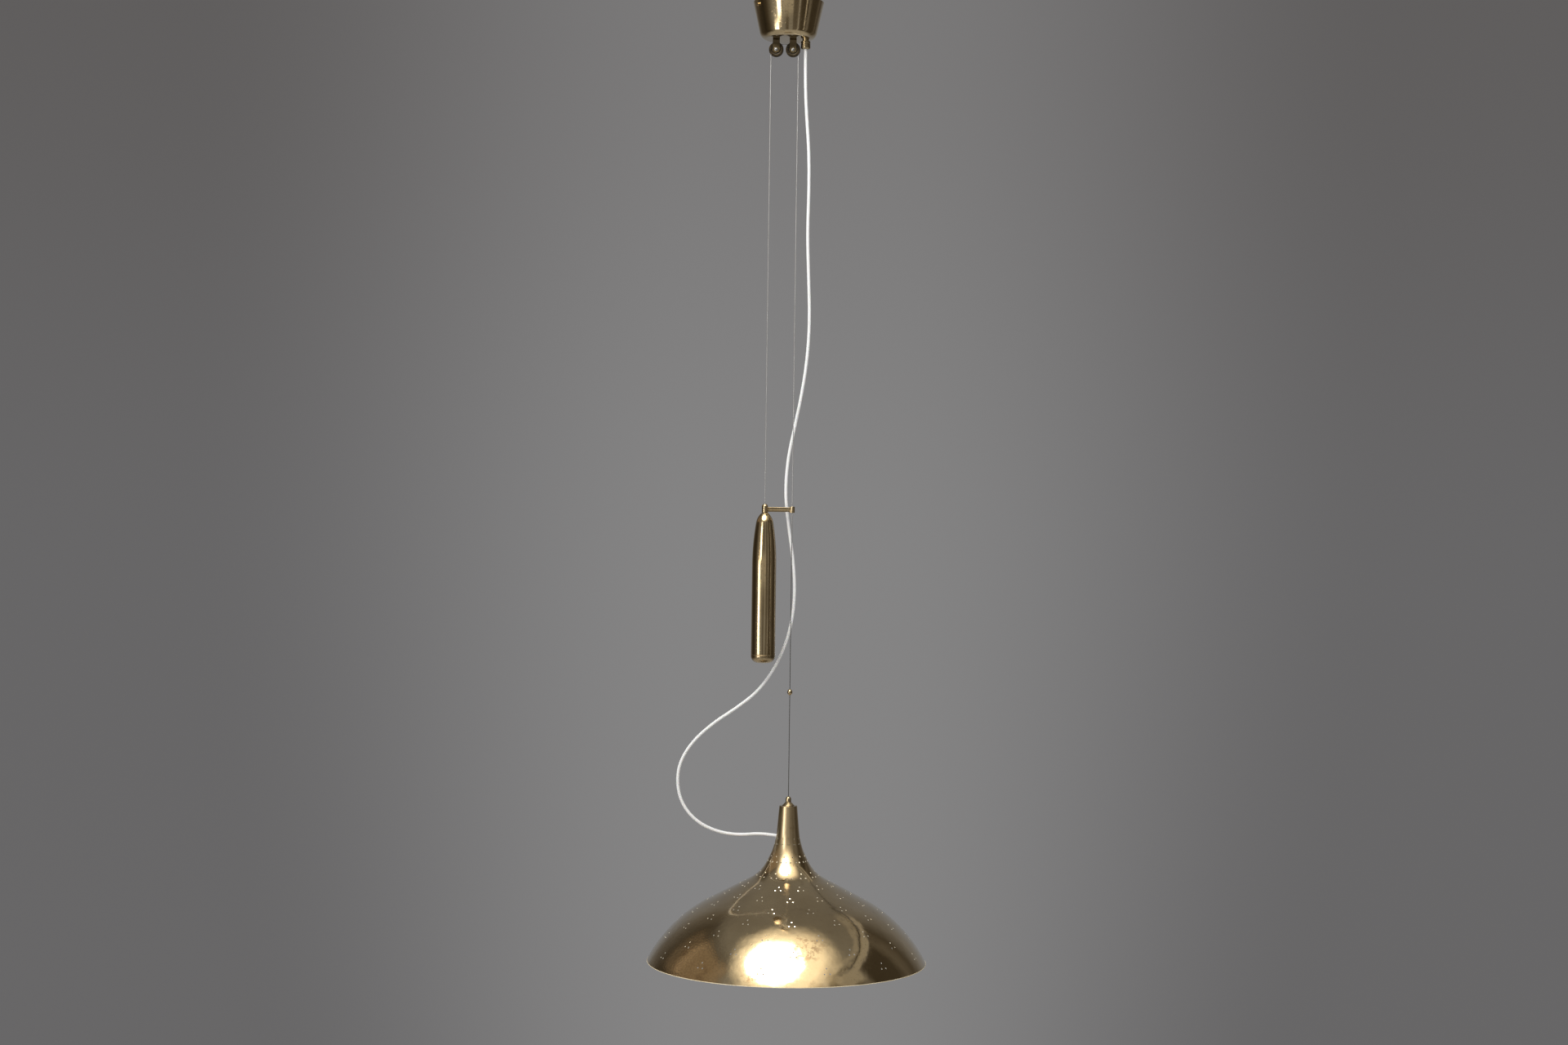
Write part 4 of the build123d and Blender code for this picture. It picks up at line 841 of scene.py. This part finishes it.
# Triangles over rings and net, without those inside a ring, and with the sheet's two sides welded.
same_point = 1e-9
whole_net = 0
net = delaunay_2d_cdt(flat.tolist(), cut_edges.tolist(), [], whole_net, same_point)
faces = np.array(net[2])
hole_of = np.where(faces < len(ring_flat), faces // corner_count, -1 - faces)
faces = faces[~((hole_of[:, 0] == hole_of[:, 1]) & (hole_of[:, 1] == hole_of[:, 2]))]
weld = np.arange(len(flat))
seam_start = np.flatnonzero(flat[:, 0] == columns[0])
seam_end = np.flatnonzero(flat[:, 0] == columns[-1])
weld[seam_end[np.argsort(flat[seam_end, 1])]] = seam_start[np.argsort(flat[seam_start, 1])]
used, faces = np.unique(weld[faces], return_inverse=True)
faces = faces.reshape(-1, 3)
flat = flat[used]
# Both skins of the wall, joined through the holes and along the neck and the rim.
outer, normal = on_bell(flat[:, 0], flat[:, 1], 0.0)
inner, _ = on_bell(flat[:, 0], flat[:, 1], wall)
count = len(flat)
facing = np.cross(outer[faces[:, 1]] - outer[faces[:, 0]], outer[faces[:, 2]] - outer[faces[:, 0]])
inward = (facing * normal[faces[:, 0]]).sum(1) < 0
faces[inward] = faces[inward][:, ::-1]
walls = np.stack([ring_first, ring_next, ring_next + count, ring_first + count], -1)
edge_sets = []
for level in (levels[0], levels[-1]):
    edge = np.flatnonzero(flat[:, 1] == level)
    edge = edge[np.argsort(flat[edge, 0])]
    edge_next = np.roll(edge, -1)
    edge_sets.append(np.stack([edge, edge_next, edge_next + count, edge + count], -1))
quads = np.concatenate([walls, *edge_sets])
skin = np.concatenate([outer, inner]) * mm
skin_faces = faces.tolist() + (faces[:, ::-1] + count).tolist() + quads.tolist()
shade_mesh = bpy.data.meshes.new("punched_bell")
shade_mesh.from_pydata(skin.tolist(), [], skin_faces)
finish_number = np.zeros(len(shade_mesh.polygons), np.int32)
finish_number[len(faces):] = 1
shade_mesh.polygons.foreach_set("material_index", finish_number)
shade_mesh.shade_smooth()
punch_angle = math.radians(40)
shade_mesh.set_sharp_from_angle(angle=punch_angle)
corner_normals = np.concatenate(
    [normal[faces].reshape(-1, 3), -normal[faces[:, ::-1]].reshape(-1, 3), np.zeros((quads.size, 3))]
)
shade_mesh.normals_split_custom_set(corner_normals.tolist())
shade = set_out("punched_bell", shade_mesh)

shade_brass, shade_shader, shade_place = start_finish("shade_brass", clear_lacquer)
shade_cloud = mottle(shade_place, 7, 6.0, 0.62)
shade_stain = mottle(shade_place, 19, 8.0, 0.72).step(0.56, 0.72)
shade_speck = mottle(shade_place, 210, 2.0, 0.5).step(0.68, 0.8)
shade_rub = mottle(shade_place, 60, 3.0, 0.6, (1.0, 1.0, 0.25))
shade_gold = shade_cloud.step(0.3, 0.72).between((0.61, 0.475, 0.28, 1), (0.47, 0.35, 0.19, 1))
shade_spread = shade_place.axis(0)
shade_depth = shade_place.axis(1)
shade_height = shade_place.axis(2)
shade_front = shade_depth.step(-0.05, -0.1)


def blotch(across, up, width, tall):
    """Patch on the shade's front about a place: 1 in the middle, fading over its width and height."""
    aside = (shade_spread - across) * (1 / width)
    above = (shade_height - up) * (1 / tall)
    return (aside * aside + above * above).step(1.0, 0.2) * shade_front


shade_blots = mottle(shade_place, 95, 7.0, 0.7).step(0.47, 0.6)
worn_right = blotch(0.046, -1.592, 0.034, 0.026) * 0.75
worn_low = blotch(-0.05, -1.637, 0.024, 0.007) * 0.8
shade_worn = shade_blots * (worn_right + worn_low)
shade_scratch = mottle(shade_place, 520, 3.0, 0.6, (0.05, 1.0, 1.0)).step(0.60, 0.72)
shade_scratch = shade_scratch + mottle(shade_place, 480, 3.0, 0.6, (1.0, 1.0, 0.06)).step(0.62, 0.74)
peel_zone = (0.02 - shade_spread).step(0.07, 0.16) * (-1.53 - shade_height).step(0.02, 0.06)
peel = mottle(shade_place, 260, 1.0, 0.4, (1.0, 1.0, 1.5)).step(0.36, 0.64) * peel_zone
shade_marks = shade_stain * 0.5 + shade_speck * 0.4 + shade_scratch * 0.16
shade_dull = shade_marks + shade_worn + peel * 0.22
shade_dull.between(shade_gold, (0.22, 0.13, 0.055, 1)).feed(shade_shader, "Base Color")
satin_neck = shade_height.step(-1.505, -1.44)
(0.055 + 0.07 * shade_rub + 0.22 * shade_dull + 0.24 * satin_neck).feed(shade_shader, "Roughness")
uneven = mottle(shade_place, 13, 3.0, 0.45) + 0.1 * mottle(shade_place, 40, 2.0, 0.5)
spun = uneven * (1.0 - 0.85 * satin_neck)
emboss(shade_shader, spun + 0.04 * peel - 0.03 * shade_speck - 0.008 * shade_scratch, 1.6 * mm)

lacquer, lacquer_shader, lacquer_place = start_finish("cream_lacquer", {"IOR": 1.5})
yellowed = mottle(lacquer_place, 8, 5.0, 0.6)
brushed = mottle(lacquer_place, 130, 3.0)
cream = yellowed.step(0.35, 0.7).between((0.80, 0.76, 0.66, 1), (0.73, 0.67, 0.54, 1))
cream.feed(lacquer_shader, "Base Color")
(0.36 + 0.16 * brushed).feed(lacquer_shader, "Roughness")
emboss(lacquer_shader, brushed, 0.12 * mm)
place_piece(shade, shade_brass, "lamp", "polished_brass", "shade")
shade.data.materials.append(lacquer)

crown_line = eased_ring(
    [
        (4.1, neck_top - 0.4, 0),
        (4.1, neck_top, 0),
        (15.3, neck_top, 0.45),
        (15.36, neck_top - 0.8, 0),
        (4.1, neck_top - 0.8, 0),
    ],
    6,
)
crown = turned("neck_crown", crown_line, (lamp_x, 0, 0), segments=112, loop=True)
place_piece(crown, neck_brass, "lamp", "polished_brass", "shade")
# The hem's pale cream-gold, non-metal finish is a painted highlight along the rim's folded edge.
hem_highlight_paint = moulded("hem_painted_highlight", (0.80, 0.66, 0.42, 1), (0.90, 0.78, 0.55, 1), 0.22, 30, 0.03 * mm)
hem_line = eased_ring(
    [
        (237.6, rim + 0.6, 0),
        (237.6, rim + 1.2, 0.3),
        (239.5, rim + 1.2, 0.1),
        (240, rim, 0.55),
        (237.6, rim, 0.5),
    ],
    6,
)
hem = turned("rim_hem", hem_line, (lamp_x, 0, 0), segments=224, loop=True)
place_piece(hem, hem_highlight_paint, "lamp", "polished_brass", "shade")

# Lampholder in the neck's flare: a dark moulded cap and shell on the threaded stem, with ribs to
# grip. Inside sits a porcelain insert with the brass thread and contact.
bakelite = moulded("dark_bakelite", (0.022, 0.017, 0.013, 1), (0.04, 0.03, 0.022, 1), 0.24, 50, 0.04 * mm)
holder_top = -1452.0
holder_seam = -1466.0
holder_mouth = -1508.0
holder_r = 18.5
brow = tangent_arc((11, holder_top), (1, 0), (holder_r, holder_top - 7), 14)
cap_below = eased(
    [
        (holder_r, holder_top - 8, 0),
        (holder_r, holder_seam, 0.4),
        (16.9, holder_seam, 0.2),
        (16.9, holder_top - 6, 3),
        (4.0, holder_top - 1.6, 0),
        (4.0, holder_top, 0),
    ],
    5,
)
holder_cap_line = np.concatenate([brow, cap_below])
holder_cap = turned("holder_top_cap", holder_cap_line, (lamp_x, 0, 0), segments=72, loop=True)
place_piece(holder_cap, bakelite, "lamp", "dark_plastic", "holder_cap")
shell_loop = [(15.6, -1490, 0), (15.6, holder_mouth, 0.5), (holder_r, holder_mouth, 0.9)]
groove_r = 17.9
for groove_z in (-1503, -1499, -1495, -1491):
    for radius, up in ((holder_r, -1.2), (groove_r, -0.6), (groove_r, 0.6), (holder_r, 1.2)):
        shell_loop.append((radius, groove_z + up, 0.2))
shell_loop += [(holder_r, holder_seam, 0.4), (16.9, holder_seam, 0)]
shell_loop += [(16.9, -1482.3, 0), (15.6, -1482.3, 0)]
shell_line = eased_ring(shell_loop, 4)
shell = turned("holder_ribbed_shell", shell_line, (lamp_x, 0, 0), segments=72, loop=True)
place_piece(shell, bakelite, "lamp", "dark_plastic", "holder_shell")
porcelain = moulded("porcelain", (0.78, 0.77, 0.73, 1), (0.84, 0.83, 0.80, 1), 0.14, 40, 0.02 * mm)
dress(porcelain, "holder_insert")
dress(neck_brass, "holder_thread", "holder_contact")

# Bulb: an opal glass ball on a screw base, lit softly so that the shade's holes and lacquer glow.
# The base is thin aluminium.
bulb_r = 30.0
bulb_foot = -1513.3
bulb_tip = bulb_foot - 80.0
bulb_middle = bulb_tip + bulb_r
throat = tangent_arc((bulb_r, bulb_middle), (0, 1), (13.1, bulb_foot), 24)
ball = turn_about(np.array([0.0, bulb_middle]), (0.0, bulb_tip), (bulb_r, bulb_middle), 30)
bulb_line = np.concatenate([ball, throat[1:], [(0, bulb_foot)]])
opal, opal_shader, opal_place = start_finish(
    "opal_glass", {"IOR": 1.5, "Emission Strength": 12.0, "Coat Weight": 0.3, "Coat Roughness": 0.1}
)
milk = mottle(opal_place, 70, 3.0)
milk.between((0.84, 0.83, 0.80, 1), (0.90, 0.89, 0.86, 1)).feed(opal_shader, "Base Color")
(0.16 + 0.08 * milk).feed(opal_shader, "Roughness")
milk.between((1.0, 0.86, 0.64, 1), (1.0, 0.89, 0.70, 1)).feed(opal_shader, "Emission Color")
bulb = turned("opal_ball", bulb_line, (lamp_x, 0, 0), segments=72)
place_piece(bulb, opal, "lamp", "opal_glass", "bulb_glass")
bulb_metal = plain_metal(
    "bulb_aluminium", (0.58, 0.58, 0.58, 1), (0.70, 0.70, 0.69, 1), roughness=0.22, scale=90
)
dress(bulb_metal, "bulb_base")

# Studio: a wide grey sweep whose floor lies below the lamp and curves up into a wall and a ceiling all
# round. It isn't part of the light. The camera sees its grey, with a painted pool of light straight
# behind the lamp and painted shade towards the sides and the top, and mirror rays see a room of light
# and dark bands with a lit ceiling.
flat_r = 3200.0
wall_r = 6200.0
floor_z = -3000.0
wall_top = 2600.0
roof_z = 5600.0
sweep_line = np.concatenate(
    [
        np.column_stack([np.linspace(0, flat_r, 8), np.full(8, floor_z)]),
        turn_about(np.array([flat_r, 0.0]), (flat_r, floor_z), (wall_r, 0.0), 40)[1:],
        np.column_stack([np.full(5, wall_r), np.linspace(600, wall_top, 5)]),
        turn_about(np.array([flat_r, wall_top]), (wall_r, wall_top), (flat_r, roof_z), 24)[1:],
        np.column_stack([np.linspace(2800, 0, 8), np.full(8, roof_z)]),
    ]
)
sweep = turned("grey_sweep", sweep_line, (0, 0, 0), segments=96)
grey_paint = {"Roughness": 0.9, "Base Color": (0.42, 0.42, 0.42, 1)}
grey, grey_shader, grey_place = start_finish("grey_sweep", grey_paint)
tree = grey_place.tree
spread = grey_place.axis(0)
depth = grey_place.axis(1)
height = grey_place.axis(2)
from_back = grey_place.reckon("ARCTAN2", spread, depth)
aside = grey_place.node("ShaderNodeMath", {"operation": "ABSOLUTE"}, {0: from_back})
# Painted light on the wall: a lit middle behind the lamp, painted shade to the sides and the top.
painted_falloff = aside.step(0.05, 0.42)
painted_lit_middle = height.step(-1.2, 1.4).between((0.236, 0.233, 0.234, 1), (0.195, 0.190, 0.190, 1))
painted_shade_edge = height.step(-1.2, 1.4).between((0.126, 0.123, 0.125, 1), (0.105, 0.099, 0.098, 1))
wall_with_painted_light = painted_falloff.between(painted_lit_middle, painted_shade_edge)
away = grey_place.reckon("POWER", spread * spread + depth * depth, 0.5)
pale_floor = away.step(4.2, 2.6) * height.step(-1.0, -2.4)
seen_tone = pale_floor.between(wall_with_painted_light, (0.50, 0.50, 0.495, 1))
in_degrees = 180 / math.pi
bearing = grey_place.reckon("ARCTAN2", spread, 0.0 - depth) * in_degrees
lift = grey_place.reckon("ARCTAN2", height + 1.5, away) * in_degrees
wall_greys = [
    (-180, 0.235),
    (-156, 0.22),
    (-147, 0.15),
    (-130, 0.065),
    (-98, 0.036),
    (-80, 0.08),
    (-66, 0.20),
    (-57, 0.32),
    (-20, 0.26),
    (-12, 0.24),
    (-8, 0.12),
    (-1, 0.12),
    (3, 0.29),
    (15, 0.28),
    (19, 0.14),
    (28, 0.14),
    (35, 0.15),
    (38, 0.42),
    (40, 0.42),
    (43, 0.10),
    (54, 0.07),
    (70, 0.055),
    (75, 0.19),
    (80, 0.17),
    (85, 0.06),
    (112, 0.06),
    (120, 0.13),
    (130, 0.075),
    (147, 0.20),
    (156, 0.22),
    (180, 0.235),
]


def warm_dark(level):
    """Studio tone of a level: dark ones are brown, as a room beyond the lamps is, light ones neutral."""
    warmth = np.interp(level, (0.08, 0.24), (1.0, 0.0))
    return (level, level * (1 - 0.15 * warmth), level * (1 - 0.36 * warmth), 1)


wall_tone = bearing.node(
    "ShaderNodeValToRGB",
    {"stops": [((degrees + 180) / 360, warm_dark(level)) for degrees, level in wall_greys]},
    {"Fac": bearing * (1 / 360) + 0.5},
)
floor_tone = lift.step(-14, -34).between(wall_tone, (0.44, 0.43, 0.41, 1))
front_band = within(bearing, -19, 14, 5) * within(lift, 2.0, 8.0, 1.6)
front_tone = front_band.between(floor_tone, (0.50, 0.48, 0.44, 1))
ceiling_tone = lift.step(41, 57).between(front_tone, (0.235, 0.23, 0.22, 1))
left_near = 0.7 * within(bearing, -108, -70, 12) * within(lift, 24, 44, 6)
left_far = 0.3 * within(bearing, -126, -110, 6) * within(lift, 18, 40, 5)
left_lit = (left_near + left_far).between(ceiling_tone, (0.42, 0.335, 0.245, 1))
right_bands = within(lift, 42.6, 46.0, 1) + 0.8 * within(lift, 49, 52, 1.5)
right_far = within(bearing, 58, 140, 10) * right_bands
right_near = within(bearing, 54, 74, 8) * within(lift, 37, 42, 3)
right_lit = (right_far + right_near).between(left_lit, (0.40, 0.38, 0.34, 1))
dark_line = within(bearing, 50, 150, 10) * within(lift, 47.2, 47.8, 0.6)
panel_tone = dark_line.between(right_lit, (0.03, 0.026, 0.02, 1))


def gap_to(spot):
    """Distance from a place on the sweep to a spot."""
    return grey_place.node("ShaderNodeVectorMath", {"operation": "DISTANCE"}, {0: grey_place, 1: spot}, 1)


wide_glow = gap_to((0.5, -3.4, 5.6)).step(5.0, 1.6).between(panel_tone, (2.2, 2.05, 1.75, 1))
room_tone = gap_to((-1.06, -3.6, 5.6)).step(4.6, 2.6).between(wide_glow, (2.0, 1.9, 1.65, 1))
paths = tree.nodes.new("ShaderNodeLightPath")
by_camera = Tone(tree, paths.outputs["Is Camera Ray"])
by_mirror = Tone(tree, paths.outputs["Is Glossy Ray"])
by_glass = Tone(tree, paths.outputs["Is Transmission Ray"])
shown = by_mirror.between(seen_tone, room_tone)
glow = shown.node("ShaderNodeEmission", {}, {"Color": shown, "Strength": 1.0})
painted = Tone(tree, grey_shader.outputs[0])
kept_shadow = shown.node("ShaderNodeMixShader", {}, {0: 0.12 * by_camera, 1: glow, 2: painted})
seen_or_mirrored = by_camera.reckon("MAXIMUM", by_camera, by_mirror)
any_seen = by_camera.reckon("MAXIMUM", seen_or_mirrored, by_glass)
surface = any_seen.node("ShaderNodeMixShader", {}, {0: any_seen, 1: painted, 2: kept_shadow})
tree.links.new(surface.socket, tree.nodes["Material Output"].inputs["Surface"])
sweep.data.materials.append(grey)
sweep.visible_diffuse = False
sweep.visible_shadow = False

# Lights: a round softbox above the lamp, three soft strips that draw the bright lines down the brass,
# and a faint fill from behind that mirrors don't show. The room's even light is the world's.
world = bpy.data.worlds.new("studio_fill")
bpy.context.scene.world = world
world.use_nodes = True
for socket, value in (("Color", (1.0, 0.99, 0.98, 1)), ("Strength", 0.38)):
    world.node_tree.nodes["Background"].inputs[socket].default_value = value


def softbox(name, shape, place, aim_z, size, radiance, tint):
    """Area light aimed at a height on the axis: its power is radiance times pi times width and height."""
    width, height = size
    light = bpy.data.lights.new(name, "AREA")
    light.shape = shape
    light.size = width
    light.size_y = height
    light.energy = radiance * math.pi * width * height
    light.color = tint
    holder = set_out(name, light)
    holder.location = place
    heading = np.subtract((0.0, 0.0, aim_z), place)
    holder.rotation_euler = (
        math.atan2(math.hypot(heading[0], heading[1]), -heading[2]),
        0,
        math.atan2(-heading[0], heading[1]),
    )
    holder.visible_camera = False
    return holder


lamp_white = (1.0, 0.98, 0.95)
softbox("overhead_round", "ELLIPSE", (-0.42, -1.42, 1.25), -1.5, (2.3, 2.2), 3.8, lamp_white)
softbox("left_strip", "RECTANGLE", (-2.03, -3.12, -0.2), -0.5, (0.82, 1.3), 6.3, lamp_white)
softbox("low_strip", "RECTANGLE", (-2.7, -2.55, -1.5), -1.2, (1.1, 1.2), 4.8, lamp_white)
softbox("right_strip", "RECTANGLE", (3.1, -1.5, -0.7), -0.8, (0.2, 2.2), 0.6, (1.0, 0.96, 0.9))
fill_white = (1.0, 0.99, 0.98)
back_fill = softbox("back_fill", "RECTANGLE", (1.0, 3.4, 0.3), -0.9, (2.4, 2.4), 1.2, fill_white)
back_fill.visible_glossy = False

# Camera: level, a little above the light's middle and four metres off, with the photograph's angle of
# view, rolled by three quarters of a degree.
photo_width = 1920
focal_length = 2894
film_width = 36
camera_lens = bpy.data.cameras.new("photograph")
camera_lens.lens = focal_length / photo_width * film_width
camera = set_out("photograph", camera_lens)
camera.location = (0.00365, -4.066, -0.8941)
camera.rotation_euler = (math.radians(90), math.radians(-0.76), 0)
bpy.context.scene.camera = camera
bpy.context.scene.view_settings.view_transform = "Standard"
